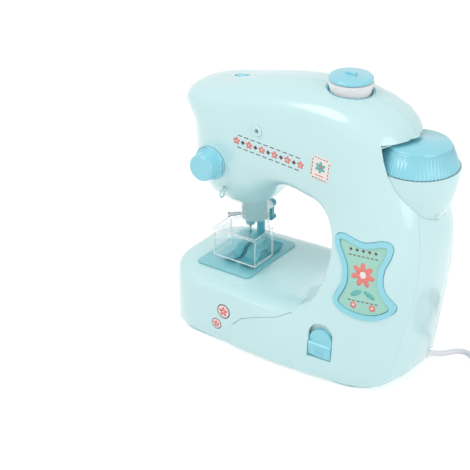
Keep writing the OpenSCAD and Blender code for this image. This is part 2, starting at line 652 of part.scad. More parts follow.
// Outer layer of thread: one helix over the barrel, its ends straight for one thread thickness
turn_n = 24;
thread_gap = 0.05;
pitch = (thread_h - 1) / thread_loops;
function wind(t) =
  let (
    z = 0.5 + t * pitch,
    r = barrel_low + (barrel_top - barrel_low) * z / thread_h + thread_r + thread_gap
  )
  [r * cos(360 * t), r * sin(360 * t), z];
winding = [for (i = [0 : turn_n * thread_loops]) wind(i / turn_n)];
wind_end = len(winding) - 1;
winding_path = concat([winding[0] - 2 * thread_r * unit(winding[1] - winding[0])], winding,
  [winding[wind_end] + 2 * thread_r * unit(winding[wind_end] - winding[wind_end - 1])]);
thread_self_gap = min([for (i = [0 : wind_end - turn_n], j = [turn_n - 2 : turn_n + 2])
  i + j <= wind_end ? near(winding, i, i + j) - 2 * thread_r : 9]);
echo(thread_self_gap = thread_self_gap);
module thread_winding() color(white)
  translate([spool_x, 0, thread_z]) tube(winding_path, thread_r, 6, [0, 0, 1]);

// Badge on the column: a waisted panel with a dipped top and a round bottom, let into an opening
badge_x = 57.5;
badge_z = 81.5;
badge_turn = 5;
badge_side = [
  [0, 24], [6, 25.2], [12.5, 27.3], [17.5, 27], [20.1, 24.3], [20.2, 21], [18.6, 15.5], [15.4, 9], [14.2, 2],
  [14.9, -4.5], [17.6, -10], [20.4, -15], [20.6, -19], [17.8, -22.8], [10.5, -26.4], [0, -27.8]];
badge_n = len(badge_side);
badge_round = concat(badge_side, [for (i = [badge_n - 2 : -1 : 1]) [-badge_side[i][0], badge_side[i][1]]]);
function closed(p, i) = p[(i + len(p)) % len(p)];
module badge_outline(grow) translate([badge_x, badge_z]) rotate(badge_turn) offset(delta = grow) polygon([
  for (i = [0 : len(badge_round) - 1], u = [0, 0.5])
    curve(closed(badge_round, i - 1), closed(badge_round, i), closed(badge_round, i + 1),
      closed(badge_round, i + 2), u)
]);
frame_w = 3.6;
module badge_layer(grow, proud, back) intersection() {
  along_y(-60, 0) badge_outline(grow);
  difference() {
    skin_solid(7, 14, -proud);
    skin_solid(7, 14, back);
  }
}
module badge_frame() color(blue) difference() {
  badge_layer(-seat, 0.9, 2);
  along_y(-60, 0) badge_outline(-frame_w);
}
module badge_plate() color("#A5D8C8") badge_layer(-frame_w - seat, -0.1, 1.9);

// Switch in the base front
switch_x = 31.5;
switch_z = 17.4;
face_y = -hb + 2.2;
module arch(w, h) {
  translate([-w / 2, 0]) square([w, h - w / 2]);
  translate([0, h - w / 2]) circle(w / 2);
}
module switch_slider() color(blue) translate([switch_x, 0, switch_z]) {
  along_y(face_y, face_y + 2) arch(slider_w, slider_h);
  translate([-slider_w / 2, face_y, 0]) rotate([90, 0, 90]) linear_extrude(slider_w)
    polygon([[0.5, 0], [-1.6, 0.6], [-1.8, 9.4], [-1.2, 10], [0.5, 10.6]]);
  for (i = [0 : 2]) translate([-3, face_y - 2.2, 2.6 + 2.2 * i]) cube([6, 1, 0.8]);
  translate([-1.5, face_y + 1, 5]) cube([3, 5, 4]);
}
module switch_slot() translate([switch_x, 0, switch_z - 0.4])
  along_y(-hb - 5, -hb + 12) arch(slider_w + 0.8, slider_h + slider_travel + 1);
module switch_body() color(grey) difference() {
  union() {
    translate([switch_x - 6, face_y + 2.4, plate_t + 2.6]) cube([12, 9, slider_h + 11]);
    translate([switch_x - 3, face_y + 8.4, plate_t + 0.5]) cube([6, 3, 4]);
  }
  translate([switch_x - 1.9, face_y, switch_z + 4.6]) cube([3.8, 7, slider_travel + 4.8]);
}

// Screws and their posts
case_posts = [[left_x + 27, 150, ha - 4.8], [0, 158, ha - 1], [58, 46, hb - 5.5], [14, 24, hb + 0.4]];
base_posts = [[left_x + 25, -20], [left_x + 25, 20], [46, -24], [46, 24]];
post_z = plate_t + 0.1;
module front_posts() {
  for (p = case_posts) front_axis(p[0], p[1], -0.2) difference() {
    cylinder(r = 3.4, h = p[2]);
    translate([0, 0, -1]) cylinder(r = 1.2 + run, h = 13);
  }
  side_post(base_posts[2]);
}
module rear_posts() {
  for (p = case_posts) front_axis(p[0], p[1], p[2] + 0.2) cylinder(r = 4.4, h = p[2]);
  side_post(base_posts[3]);
}
module side_post(p) difference() {
  union() {
    translate([p[0], p[1], post_z]) cylinder(r = 3.4, h = 9);
    translate([p[0] - 1.2, p[1] < 0 ? -hb + 2.5 : p[1], post_z]) cube([2.4, hb - 2.5 - abs(p[1]), 8]);
  }
  translate([p[0], p[1], 0]) cylinder(r = 1.2 + run, h = 10);
}
module rear_bores() for (p = case_posts) {
  front_axis(p[0], p[1], 60) cylinder(r = 3, h = 52);
  front_axis(p[0], p[1], 20) cylinder(r = 1.2 + run, h = 40);
}
module case_screws() color(steel) for (p = case_posts) front_axis(p[0], p[1], 9.8) {
  cylinder(r = 2.6, h = 1.7);
  cylinder(r = 1.2, h = 19);
}
module base_screws() color(steel) for (p = base_posts) translate([p[0], p[1], 0.3]) {
  cylinder(r = 2.6, h = 1.2);
  cylinder(r = 1.2, h = 8.5);
}
module bottom_plate() color(mint) difference() {
  linear_extrude(plate_t) base_plan(rim_inset + seat);
  for (p = base_posts) translate([p[0], p[1], -1]) {
    cylinder(r = 3, h = 2.6);
    cylinder(r = 1.2 + run, h = 10);
  }
}

// Needle plate on the bed
plate_right = left_x + 62;
module needle_plate() color("#7CCBD2") difference() {
  translate([0, 0, plate_z]) linear_extrude(plate_top - plate_z) hull() {
    for (x = [left_x + 22, plate_right - 3], y = [-hb + 20, hb - 18]) translate([x, y]) circle(3, $fn = 16);
  }
  translate([needle_x, 0, 0]) cylinder(r = 1.6, h = through);
}

// Power lead: it leaves the right end low down, lies on the ground and ends in a tied coil with a plug
exit_p = [77.3, 15, 6.5];
exit_a = 40;
module exit_axis() translate(exit_p) rotate([0, 90, exit_a]) children();
module cord_grommet() color(white) exit_axis() translate([0, 0, -6]) difference() {
  cylinder(r = cord_r + 1.2, h = 7.6);
  translate([0, 0, -1]) cylinder(r = cord_r + run, h = 20);
}
lead_route = [
  [74.2, 12.4, 6.5], [75.8, 13.7, 6.5], [77.3, 15, 6.5], [79, 16.5, 6.4], [80.8, 18.6, 5.8],
  [82.3, 21.2, 4.8], [83.6, 24.1, 3.6], [84.9, 27.2, 2.5], [86.4, 30.4, 1.9], [88.4, 33.6, 1.75],
  [91, 36.3, 1.75], [94.4, 37.9, 1.75],
  [98.2, 37.6, 1.75], [101.9, 35.7, 1.9], [105.6, 32.1, 2.4]];
function smooth(rows, parts) = [
  for (i = [0 : len(rows) - 2], j = [0 : parts - 1])
    curve(rows[max(i - 1, 0)], rows[i], rows[i + 1], rows[min(i + 2, len(rows) - 1)], j / parts),
  rows[len(rows) - 1]
];

coil_c = [130, 45, 0];
coil_out = 26;
coil_start = -133;
coil_step = 2 * cord_r + 0.5;
coil_z = cord_r + 1.1;
layer_loops = coil_loops / 2;
function ease(u) = let (v = max(0, min(1, u))) v * v * (3 - 2 * v);
function loop(t) =
  let (
    r = coil_out - coil_step * (layer_loops + 0.25) + coil_step * abs(t - layer_loops - 0.25),
    a = coil_start + 360 * t
  )
  coil_c + [r * cos(a), r * sin(a), coil_z + coil_step * ease(2 * (t - layer_loops))];
coil_n = turn_n * (coil_loops + 0.5);
coil = [for (i = [0 : coil_n]) loop(i / turn_n)];
coil_first = coil[0] - 2 * cord_r * unit(coil[1] - coil[0]);
coil_last = coil[coil_n] + 2 * cord_r * unit(coil[coil_n] - coil[coil_n - 1]);
coil_self_gap = min([
  for (i = [0 : coil_n], j = [12 : coil_n]) i + j <= coil_n ? near(coil, i, i + j) - 2 * cord_r : 9
]);
echo(coil_self_gap = coil_self_gap, coil_first = coil_first, coil_last = coil_last);
butt_gap = 0.6;
lead_path = concat(lead_route, [coil_first - butt_gap * unit(coil[1] - coil[0])]);
module cord_lead() color(white) tube(smooth(lead_path, 2), cord_r, 8, [0, 0, 1]);
module cord_coil() color(white) tube(concat([coil_first], coil, [coil_last]), cord_r, 6, [0, 0, 1]);

tail_route = [
  [-0.3, 0.25, 0], [-2.9, 2.4, -0.35], [-6.3, 4.9, -1.05], [-10, 6.8, -1.85],
  [-13.9, 8, -2.45], [-17.9, 8.5, -2.85], [-21.9, 8.5, -2.85]];
plug_h = 8;
tail_drop = (coil_last[2] - plug_h / 2) / 2.85;
tail_path = [for (p = tail_route) coil_last + [p[0], p[1], p[2] * tail_drop]];
module cord_tail() color(white) tube(smooth(tail_path, 2), cord_r, 8, [0, 0, 1]);
plug_p = tail_path[len(tail_path) - 1] + [3.4, 0.3, 0];
plug_l = 21;
module plug_body() color(white) difference() {
  translate([plug_p[0] - plug_l, plug_p[1] - 6.5, 0]) cube([plug_l - 4, 13, plug_h]);
  translate([plug_p[0] - 14, plug_p[1], plug_h / 2]) rotate([0, 90, 0]) cylinder(r = cord_r + run, h = 30);
  translate([plug_p[0] - plug_l - 1, plug_p[1] - 6.05, plug_h / 2 - 2.3]) cube([4, 12.1, 4.6]);
}
module plug_shell() color(steel)
translate([plug_p[0] - plug_l - 12, plug_p[1] - 6, plug_h / 2 - 2.25]) difference() {
  cube([14.8, 12, 4.5]);
  translate([-1, 0.4, 0.4]) cube([13, 11.2, 3.7]);
}
tie_in = coil_out - coil_step * (layer_loops + 0.25) - 1.4;
tie_h = coil_z + coil_step + cord_r + 0.4;
module cord_tie() color(grey) translate([coil_c[0] - 3, coil_c[1], 0]) difference() {
  translate([0, tie_in - 0.8, 0]) cube([6, coil_out + 1.6 - tie_in, tie_h + 0.8]);
  translate([-1, tie_in, 0.75]) cube([8, coil_out - tie_in, tie_h - 0.75]);
}

// Openings in the shells
slot_half = 6.5;
slot_side = 2.7;
slot_r = (slot_half * slot_half + slot_side * slot_side) / (2 * slot_side);
module take_up_slot() intersection_for(s = [-1, 1])
  translate([take_x, s * (slot_r - slot_side), take_z + 10]) cylinder(r = slot_r, h = 60);
module openings() {
  wheel_room();
  translate([spool_x, 0, seat_z - 3]) cylinder(r = seat_r + 0.2, h = 40);
  take_up_slot();
  translate([neck_x, 0, neck_bottom - 5]) cylinder(r = neck_r + seat, h = 30);
  base_mouth();
}
module front_shell() color(mint) {
  difference() {
    union() {
      half_shell(-1);
      front_axis(dial_x, dial_z, -pad_y + 6) cylinder(r = dial_r + 0.7, h = 6);
    }
    along_y(-60, 1) bed_outline(0);
    openings();
    front_axis(dial_x, dial_z, 0) cylinder(r = 3 + seat, h = 60);
    front_axis(eye_x, eye_z, 0) cylinder(r = 2.4 + seat, h = 60);
    low_axis() translate([0, 0, -10]) cylinder(r = 1.4 + seat, h = 20);
    along_y(-60, -20) badge_outline(0);
    switch_slot();
  }
  front_posts();
}
module rear_shell() color(mint) difference() {
  union() {
    difference() {
      half_shell(1);
      along_y(-60, 60) bed_outline(0);
      openings();
      exit_axis() translate([0, 0, -12]) cylinder(r = cord_r + 1.2 + seat, h = 30);
    }
    rear_posts();
  }
  rear_bores();
}
module bed_cover() color(mint) {
  difference() {
    intersection() {
      base_tube();
      along_y(-60, 60) bed_outline(0.2);
    }
    base_mouth();
    translate([needle_x, 0, bed_h - 10]) cylinder(r = 2.5, h = 20);
  }
  for (i = [0, 1]) translate([base_posts[i][0], base_posts[i][1], post_z]) difference() {
    cylinder(r = 3.4, h = bed_h - wall - post_z + 0.8);
    translate([0, 0, -1]) cylinder(r = 1.2 + run, h = 12);
  }
}

front_shell();
rear_shell();
bed_cover();
bottom_plate();
base_screws();
case_screws();
wheel_cup();
hand_wheel();
wheel_shaft();
crown_gear();
shaft_pinion();
main_shaft();
drive_gear();
motor_pinion();
motor();
gear_frame();
shaft_bushes();
crank_disc();
needle_bar();
needle_yoke();
take_up();
needle_clamp();
needle();
needle_housing();
presser_bar();
presser_foot();
lifter_lever();
lifter_pin();
finger_guard();
guard_screw();
needle_plate();
tension_dial();
dial_stud();
thread_guide_upper();
thread_guide_lower();
spool_seat();
spool_pin();
spool_core();
thread_barrel();
thread_winding();
spool_cap();
badge_frame();
badge_plate();
switch_slider();
switch_body();
cord_grommet();
cord_lead();
cord_coil();
cord_tie();
cord_tail();
plug_body();
plug_shell();
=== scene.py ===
# %% [markdown]
# The toy sewing machine
#
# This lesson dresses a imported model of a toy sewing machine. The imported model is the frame: its solids
# already have the right size and place, so nothing here moves them. The lesson sets a camera and light,
# lays the power lead, gives each finish its own material, and adds the small printed and wound pieces.

# %% Load the frame
import json
import math

import bmesh
import bpy
from mathutils import Matrix, Vector
from mathutils.bvhtree import BVHTree
from mathutils.kdtree import KDTree

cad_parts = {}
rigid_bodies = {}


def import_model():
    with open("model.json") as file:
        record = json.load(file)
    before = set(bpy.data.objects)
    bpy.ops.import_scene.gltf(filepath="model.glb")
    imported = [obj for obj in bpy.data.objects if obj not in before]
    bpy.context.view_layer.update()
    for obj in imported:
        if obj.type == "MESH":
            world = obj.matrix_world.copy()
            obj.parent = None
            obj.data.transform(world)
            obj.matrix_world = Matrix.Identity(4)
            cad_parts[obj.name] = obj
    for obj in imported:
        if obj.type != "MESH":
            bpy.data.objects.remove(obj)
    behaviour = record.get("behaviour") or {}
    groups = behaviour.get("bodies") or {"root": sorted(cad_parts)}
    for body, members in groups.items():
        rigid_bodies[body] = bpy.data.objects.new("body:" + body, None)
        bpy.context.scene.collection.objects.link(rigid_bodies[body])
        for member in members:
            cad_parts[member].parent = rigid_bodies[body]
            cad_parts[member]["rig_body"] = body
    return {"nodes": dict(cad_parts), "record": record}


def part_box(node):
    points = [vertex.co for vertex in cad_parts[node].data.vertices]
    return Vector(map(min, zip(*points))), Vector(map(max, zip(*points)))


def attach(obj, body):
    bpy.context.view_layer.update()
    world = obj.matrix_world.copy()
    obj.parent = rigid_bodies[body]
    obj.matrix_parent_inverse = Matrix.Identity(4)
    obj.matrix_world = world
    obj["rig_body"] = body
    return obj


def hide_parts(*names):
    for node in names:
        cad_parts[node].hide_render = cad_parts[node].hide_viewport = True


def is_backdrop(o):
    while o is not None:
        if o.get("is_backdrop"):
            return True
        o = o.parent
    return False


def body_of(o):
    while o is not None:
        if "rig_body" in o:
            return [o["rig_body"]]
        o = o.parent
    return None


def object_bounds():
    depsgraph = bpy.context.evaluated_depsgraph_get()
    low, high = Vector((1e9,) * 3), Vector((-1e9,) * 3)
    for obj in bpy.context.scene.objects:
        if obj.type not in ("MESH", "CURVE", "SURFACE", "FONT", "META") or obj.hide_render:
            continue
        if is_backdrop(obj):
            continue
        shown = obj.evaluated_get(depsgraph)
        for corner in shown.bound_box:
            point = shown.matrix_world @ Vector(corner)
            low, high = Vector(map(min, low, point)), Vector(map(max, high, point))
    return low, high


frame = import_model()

MM = 0.001
nodes = frame["nodes"]
scene = bpy.context.scene
cad_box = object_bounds()
slot_of = {part["node"]: part["material_slot"] for part in frame["record"]["subparts"]}


def millimetres(*values):
    """A point written in millimetres, as a vector in metres."""
    return Vector(values) * MM


# %% [markdown]
# The camera
#
# The picture to match was taken from the front right, a little above the toy, with a long lens, so
# upright edges stay almost parallel. A long lens is a narrow angle, so the camera stands far back.
# The place and the angle were found by fitting known points of the machine to the picture.

# %% Place the camera
VIEW_AZIMUTH = math.radians(35)
VIEW_ELEVATION = math.radians(28)
CAMERA_PLACE = millimetres(422.95, -698.23, 510.95)
FRAME_PIXELS = 470
FOCAL_PIXELS = 1400
SENSOR_MM = 36

looking = Vector((
    -math.sin(VIEW_AZIMUTH) * math.cos(VIEW_ELEVATION),
    math.cos(VIEW_AZIMUTH) * math.cos(VIEW_ELEVATION),
    -math.sin(VIEW_ELEVATION),
))
camera_data = bpy.data.cameras.new("front_right_camera")
camera_data.sensor_width = SENSOR_MM
camera_data.lens = SENSOR_MM * FOCAL_PIXELS / FRAME_PIXELS
camera = bpy.data.objects.new("front_right_camera", camera_data)
camera.location = CAMERA_PLACE
camera.rotation_euler = looking.to_track_quat("-Z", "Y").to_euler()
scene.collection.objects.link(camera)
scene.camera = camera
print("camera: lens %.1f mm" % camera_data.lens)

# %% [markdown]
# Floor and light
#
# The toy stands on a plain white sweep, as in a small photo studio. A bright sky-like world gives the
# even light of a light tent, and two big lamps give the forms a light side and a soft shadow. The
# floor is lit like everything else, so it keeps the shadow. A little glow, seen only by the camera and
# by mirrors and clear plastic, lifts it to white without throwing any light on the toy.


# %% Make the tools for the light
def new_node(tree, kind, **settings):
    """A shader node with its input sockets set by name."""
    node = tree.nodes.new("ShaderNode" + kind)
    for name, value in settings.items():
        node.inputs[name.replace("_", " ")].default_value = value
    return node


def seen_directly(tree):
    """1 for rays that come straight from the camera, off a gloss or through clear plastic, else 0."""
    path = new_node(tree, "LightPath")
    first = new_node(tree, "Math")
    first.operation = "MAXIMUM"
    tree.links.new(path.outputs["Is Camera Ray"], first.inputs[0])
    tree.links.new(path.outputs["Is Glossy Ray"], first.inputs[1])
    both = new_node(tree, "Math")
    both.operation = "MAXIMUM"
    tree.links.new(first.outputs[0], both.inputs[0])
    tree.links.new(path.outputs["Is Transmission Ray"], both.inputs[1])
    return both.outputs[0]


print("tools: new_node, seen_directly")

# %% Set the world
SKY_STRENGTH = 0.64
world = bpy.data.worlds.new("light_tent")
scene.world = world
world.use_nodes = True
sky = world.node_tree
sky.nodes.clear()
tent = new_node(sky, "Background", Color=(1, 1, 1, 1), Strength=SKY_STRENGTH)
white = new_node(sky, "Background", Color=(1, 1, 1, 1), Strength=1.0)
pick = new_node(sky, "MixShader")
sky_out = new_node(sky, "OutputWorld")
sky.links.new(seen_directly(sky), pick.inputs[0])
sky.links.new(tent.outputs[0], pick.inputs[1])
sky.links.new(white.outputs[0], pick.inputs[2])
sky.links.new(pick.outputs[0], sky_out.inputs[0])
scene.view_settings.view_transform = "Standard"
print("world: sky", SKY_STRENGTH)

# %% Set the lamps
SOFT_BOXES = {
    "key_soft_box": {"place": (-420, -640, 1150), "aim": (0, 0, 90), "size": 700, "watts": 5.0},
    "fill_soft_box": {"place": (900, -300, 500), "aim": (0, 0, 90), "size": 700, "watts": 2.4},
}
for name, lamp in SOFT_BOXES.items():
    light = bpy.data.lights.new(name, "AREA")
    light.shape = "DISK"
    light.size = lamp["size"] * MM
    light.energy = lamp["watts"]
    box_light = bpy.data.objects.new(name, light)
    box_light.location = millimetres(*lamp["place"])
    aim = millimetres(*lamp["aim"]) - box_light.location
    box_light.rotation_euler = aim.to_track_quat("-Z", "Y").to_euler()
    scene.collection.objects.link(box_light)
print("lamps:", list(SOFT_BOXES))


# %% Lay the floor
def new_mesh_piece(name, bm):
    """Turns a bmesh into an object at the origin."""
    mesh = bpy.data.meshes.new(name)
    bm.to_mesh(mesh)
    bm.free()
    piece = bpy.data.objects.new(name, mesh)
    scene.collection.objects.link(piece)
    return piece


FLOOR_HALF = 4.0
bm = bmesh.new()
bmesh.ops.create_grid(bm, x_segments=1, y_segments=1, size=FLOOR_HALF)
floor = new_mesh_piece("floor", bm)
floor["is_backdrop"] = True
print("floor: %.0f m across" % (2 * FLOOR_HALF))

# %% Give the floor its paper
FLOOR_GLOW = 0.5
PAPER_TOOTH = 900.0
PAPER_GREYS = (0.84, 0.88)
paper = bpy.data.materials.new("white_sweep")
paper.use_nodes = True
tree = paper.node_tree
tree.nodes.clear()
tooth = new_node(tree, "TexNoise", Scale=PAPER_TOOTH, Detail=3.0)
tone = new_node(tree, "ValToRGB")
for element, grey in zip(tone.color_ramp.elements, PAPER_GREYS):
    element.color = (grey, grey, grey, 1)
matt = new_node(tree, "BsdfDiffuse")
glow = new_node(tree, "Emission", Color=(1, 1, 1, 1), Strength=FLOOR_GLOW)
lifted = new_node(tree, "AddShader")
pick = new_node(tree, "MixShader")
place = new_node(tree, "TexCoord")
paper_out = new_node(tree, "OutputMaterial")
tree.links.new(place.outputs["Object"], tooth.inputs["Vector"])
tree.links.new(tooth.outputs["Fac"], tone.inputs["Fac"])
tree.links.new(tone.outputs["Color"], matt.inputs["Color"])
tree.links.new(matt.outputs[0], lifted.inputs[0])
tree.links.new(glow.outputs[0], lifted.inputs[1])
tree.links.new(seen_directly(tree), pick.inputs[0])
tree.links.new(matt.outputs[0], pick.inputs[1])
tree.links.new(lifted.outputs[0], pick.inputs[2])
tree.links.new(pick.outputs[0], paper_out.inputs["Surface"])
floor.data.materials.append(paper)
print("paper: glow", FLOOR_GLOW)

# %% [markdown]
# The power lead
#
# The lead of a small toy is a soft vinyl cable about 3.5 mm thick. It leaves low at the back of the
# base, drops to the table, and the length that is not needed is wound into a flat coil and tied. A
# lead keeps its length, so it is one curve with a round bevel: the points by the machine are listed,
# and the turns of the coil come from a loop, as the imported solids have them. Blender counts the
# radius of each point in a curve's box, so the points carry the lead's radius and the bevel is one.

# %% Plan the route of the lead
LEAD_RADIUS = 1.75 * MM
lead_points = [
    (77.3, 15, 6.5), (79, 16.5, 6.4), (80.8, 18.6, 5.8), (82.3, 21.2, 4.8), (83.6, 24.1, 3.6),
    (84.9, 27.2, 2.5), (86.4, 30.4, 1.9), (88.4, 33.6, 1.75), (91, 36.3, 1.75), (94.4, 37.9, 1.75),
    (98.2, 37.6, 1.75), (101.9, 35.7, 1.9), (105.6, 32.1, 2.4),
]
COIL_MIDDLE = (130, 45)
COIL_RADIUS = 26
COIL_START = -133
COIL_STEP = 4.0
COIL_FLOOR = 2.85
COIL_TURNS = 6.5
LAYER_TURNS = 3
RINGS_PER_TURN = 24


def ease(t):
    """A smooth step from 0 to 1."""
    t = min(max(t, 0.0), 1.0)
    return t * t * (3 - 2 * t)


def coil_point(turn):
    """A point of the coil: inwards on the table for half of the turns, then outwards on top of them."""
    middle = COIL_TURNS / 2
    radius = COIL_RADIUS - COIL_STEP * middle + COIL_STEP * abs(turn - middle)
    angle = math.radians(COIL_START + 360 * turn)
    height = COIL_FLOOR + COIL_STEP * ease(2 * (turn - LAYER_TURNS))
    return (
        COIL_MIDDLE[0] + radius * math.cos(angle),
        COIL_MIDDLE[1] + radius * math.sin(angle),
        height,
    )


coil_points = [coil_point(i / RINGS_PER_TURN) for i in range(int(COIL_TURNS * RINGS_PER_TURN) + 1)]
TAIL_LEAD = 3.5
tail_steps = [
    (-0.3, 0.25, 0), (-2.9, 2.4, -0.35), (-6.3, 4.9, -1.05), (-10, 6.8, -1.85), (-13.9, 8, -2.45),
    (-17.9, 8.5, -2.85), (-21.9, 8.5, -2.85),
]
coil_before, coil_end = [Vector(p) for p in coil_points[-2:]]
tail_start = coil_end + (coil_end - coil_before).normalized() * TAIL_LEAD
tail_points = [tail_start + Vector(step) for step in tail_steps]
route = [millimetres(*p) for p in lead_points + coil_points + tail_points]

# %% Lay the lead along its route
lead_curve = bpy.data.curves.new("power_lead", "CURVE")
lead_curve.dimensions = "3D"
lead_curve.bevel_depth = 1
lead_curve.bevel_resolution = 5
lead_curve.use_fill_caps = True
spline = lead_curve.splines.new("POLY")
spline.points.add(len(route) - 1)
for point, place in zip(spline.points, route):
    point.co = (*place, 1)
    point.radius = LEAD_RADIUS
spline.use_smooth = True
lead = bpy.data.objects.new("power_lead", lead_curve)
scene.collection.objects.link(lead)
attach(lead, "housing")
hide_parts("cord_lead", "cord_coil", "cord_tail")
print("power lead: %.1f mm thick" % (2 * LEAD_RADIUS / MM))

# %% [markdown]
# Shared surface effects
#
# Moulded plastic is never one flat colour: the colour drifts a little where the melt flowed, fingers
# leave parts of it duller, and the mould gives it a very fine grain. All the plastics share that, so it
# is one node group with its own numbers in each material. Plated metal gets fine streaks from
# polishing, and thread gets the slanted lines of its twisted fibres.

# %% Make the tools for shader groups
WHITE = (1, 1, 1, 1)
# A Mix node has one row of sockets per data type; these are those of its colours.
MIX_AMOUNT, MIX_FIRST, MIX_SECOND, MIX_RESULT = 0, 6, 7, 2


def new_group(name, inputs, outputs):
    """An empty shader group with named sockets, and its input and output nodes."""
    group = bpy.data.node_groups.new(name, "ShaderNodeTree")
    for label, kind, value in inputs:
        socket = group.interface.new_socket(name=label, in_out="INPUT", socket_type="NodeSocket" + kind)
        socket.default_value = value
    for label, kind in outputs:
        group.interface.new_socket(name=label, in_out="OUTPUT", socket_type="NodeSocket" + kind)
    return group, group.nodes.new("NodeGroupInput"), group.nodes.new("NodeGroupOutput")


def noise(tree, vector, scale, detail=2.0):
    """A noise texture on that vector; returns its grey value."""
    texture = new_node(tree, "TexNoise", Detail=detail)
    tree.links.new(vector, texture.inputs["Vector"])
    if isinstance(scale, float):
        texture.inputs["Scale"].default_value = scale
    else:
        tree.links.new(scale, texture.inputs["Scale"])
    return texture.outputs["Fac"]


def stretched(tree, value, low, high):
    """Spreads the middle of a noise from low to high, which are numbers or sockets."""
    spread = new_node(tree, "MapRange", From_Min=0.3, From_Max=0.7)
    tree.links.new(value, spread.inputs["Value"])
    for label, end in (("To Min", low), ("To Max", high)):
        if isinstance(end, float):
            spread.inputs[label].default_value = end
        else:
            tree.links.new(end, spread.inputs[label])
    return spread.outputs["Result"]


def mixed(tree, amount, first, second):
    """Mixes two colour sockets by a grey value."""
    mix = new_node(tree, "Mix")
    mix.data_type = "RGBA"
    tree.links.new(amount, mix.inputs[MIX_AMOUNT])
    tree.links.new(first, mix.inputs[MIX_FIRST])
    tree.links.new(second, mix.inputs[MIX_SECOND])
    return mix.outputs[MIX_RESULT]


SURFACE_OUTPUTS = [("Color", "Color"), ("Roughness", "Float"), ("Height", "Float")]
print("each surface group gives:", [label for label, kind in SURFACE_OUTPUTS])

# %% Build the moulded skin group
SMUDGE_SCALE = 75.0
SMUDGE_DETAIL = 4.0
PLASTIC_INPUTS = [
    ("Color", "Color", WHITE), ("Shade", "Color", WHITE), ("Drift Scale", "Float", 14.0),
    ("Gloss", "Float", 0.25), ("Dull", "Float", 0.4), ("Grain Scale", "Float", 2600.0),
]
moulded_skin, taken, given = new_group("moulded_skin", PLASTIC_INPUTS, SURFACE_OUTPUTS)
where = new_node(moulded_skin, "TexCoord").outputs["Object"]
drift = stretched(moulded_skin, noise(moulded_skin, where, taken.outputs["Drift Scale"]), 0.0, 1.0)
tint = mixed(moulded_skin, drift, taken.outputs["Color"], taken.outputs["Shade"])
smudge = noise(moulded_skin, where, SMUDGE_SCALE, SMUDGE_DETAIL)
gloss = stretched(moulded_skin, smudge, taken.outputs["Gloss"], taken.outputs["Dull"])
grain = noise(moulded_skin, where, taken.outputs["Grain Scale"])
moulded_skin.links.new(tint, given.inputs["Color"])
moulded_skin.links.new(gloss, given.inputs["Roughness"])
moulded_skin.links.new(grain, given.inputs["Height"])
print("group:", moulded_skin.name, "with", len(moulded_skin.nodes), "nodes")

# %% Build the plating group
STREAK_INPUTS = [
    ("Color", "Color", WHITE), ("Shade", "Color", WHITE), ("Streaks", "Vector", (900.0, 900.0, 40.0)),
    ("Gloss", "Float", 0.2), ("Dull", "Float", 0.4),
]
polished_plating, taken, given = new_group("polished_plating", STREAK_INPUTS, SURFACE_OUTPUTS)
where = new_node(polished_plating, "TexCoord").outputs["Object"]
pull = new_node(polished_plating, "VectorMath")
pull.operation = "MULTIPLY"
polished_plating.links.new(where, pull.inputs[0])
polished_plating.links.new(taken.outputs["Streaks"], pull.inputs[1])
streak = noise(polished_plating, pull.outputs[0], 1.0, 3.0)
faint = stretched(polished_plating, streak, 0.0, 1.0)
tint = mixed(polished_plating, faint, taken.outputs["Color"], taken.outputs["Shade"])
gloss = stretched(polished_plating, streak, taken.outputs["Gloss"], taken.outputs["Dull"])
polished_plating.links.new(tint, given.inputs["Color"])
polished_plating.links.new(gloss, given.inputs["Roughness"])
polished_plating.links.new(streak, given.inputs["Height"])
print("group:", polished_plating.name, "with", len(polished_plating.nodes), "nodes")

# %% Build the fibre group
FUZZ_SCALE = 400.0
FIBRE_INPUTS = [
    ("Color", "Color", WHITE), ("Shade", "Color", WHITE), ("Twist Scale", "Float", 700.0),
    ("Gloss", "Float", 0.55), ("Dull", "Float", 0.8),
]
spun_fibre, taken, given = new_group("spun_fibre", FIBRE_INPUTS, SURFACE_OUTPUTS)
where = new_node(spun_fibre, "TexCoord").outputs["Object"]
twist = new_node(spun_fibre, "TexWave", Distortion=1.5, Detail=2.0)
twist.bands_direction = "DIAGONAL"
spun_fibre.links.new(where, twist.inputs["Vector"])
spun_fibre.links.new(taken.outputs["Twist Scale"], twist.inputs["Scale"])
tint = mixed(spun_fibre, twist.outputs["Fac"], taken.outputs["Shade"], taken.outputs["Color"])
fuzz = noise(spun_fibre, where, FUZZ_SCALE, 3.0)
gloss = stretched(spun_fibre, fuzz, taken.outputs["Gloss"], taken.outputs["Dull"])
spun_fibre.links.new(tint, given.inputs["Color"])
spun_fibre.links.new(gloss, given.inputs["Roughness"])
spun_fibre.links.new(twist.outputs["Fac"], given.inputs["Height"])
print("group:", spun_fibre.name, "with", len(spun_fibre.nodes), "nodes")

# %% [markdown]
# The finishes
#
# The machine has few finishes: pale mint for the case, light blue for what the hand turns, a deeper
# teal for the foot and lever, white for gears and spool pin, clear plastic for the finger guard, and
# plated steel for the needle and screws. Each finish is one Principled material fed by its group. What
# is the same all over, such as a clear coat or the amount of metal, is set on the shader itself.


# %% Make the tools for finishes
def paint(code):
    """A colour written as six hex digits, as linear light."""
    parts = [int(code[i : i + 2], 16) / 255 for i in (0, 2, 4)]
    linear = [p / 12.92 if p <= 0.04045 else ((p + 0.055) / 1.055) ** 2.4 for p in parts]
    return (*linear, 1)


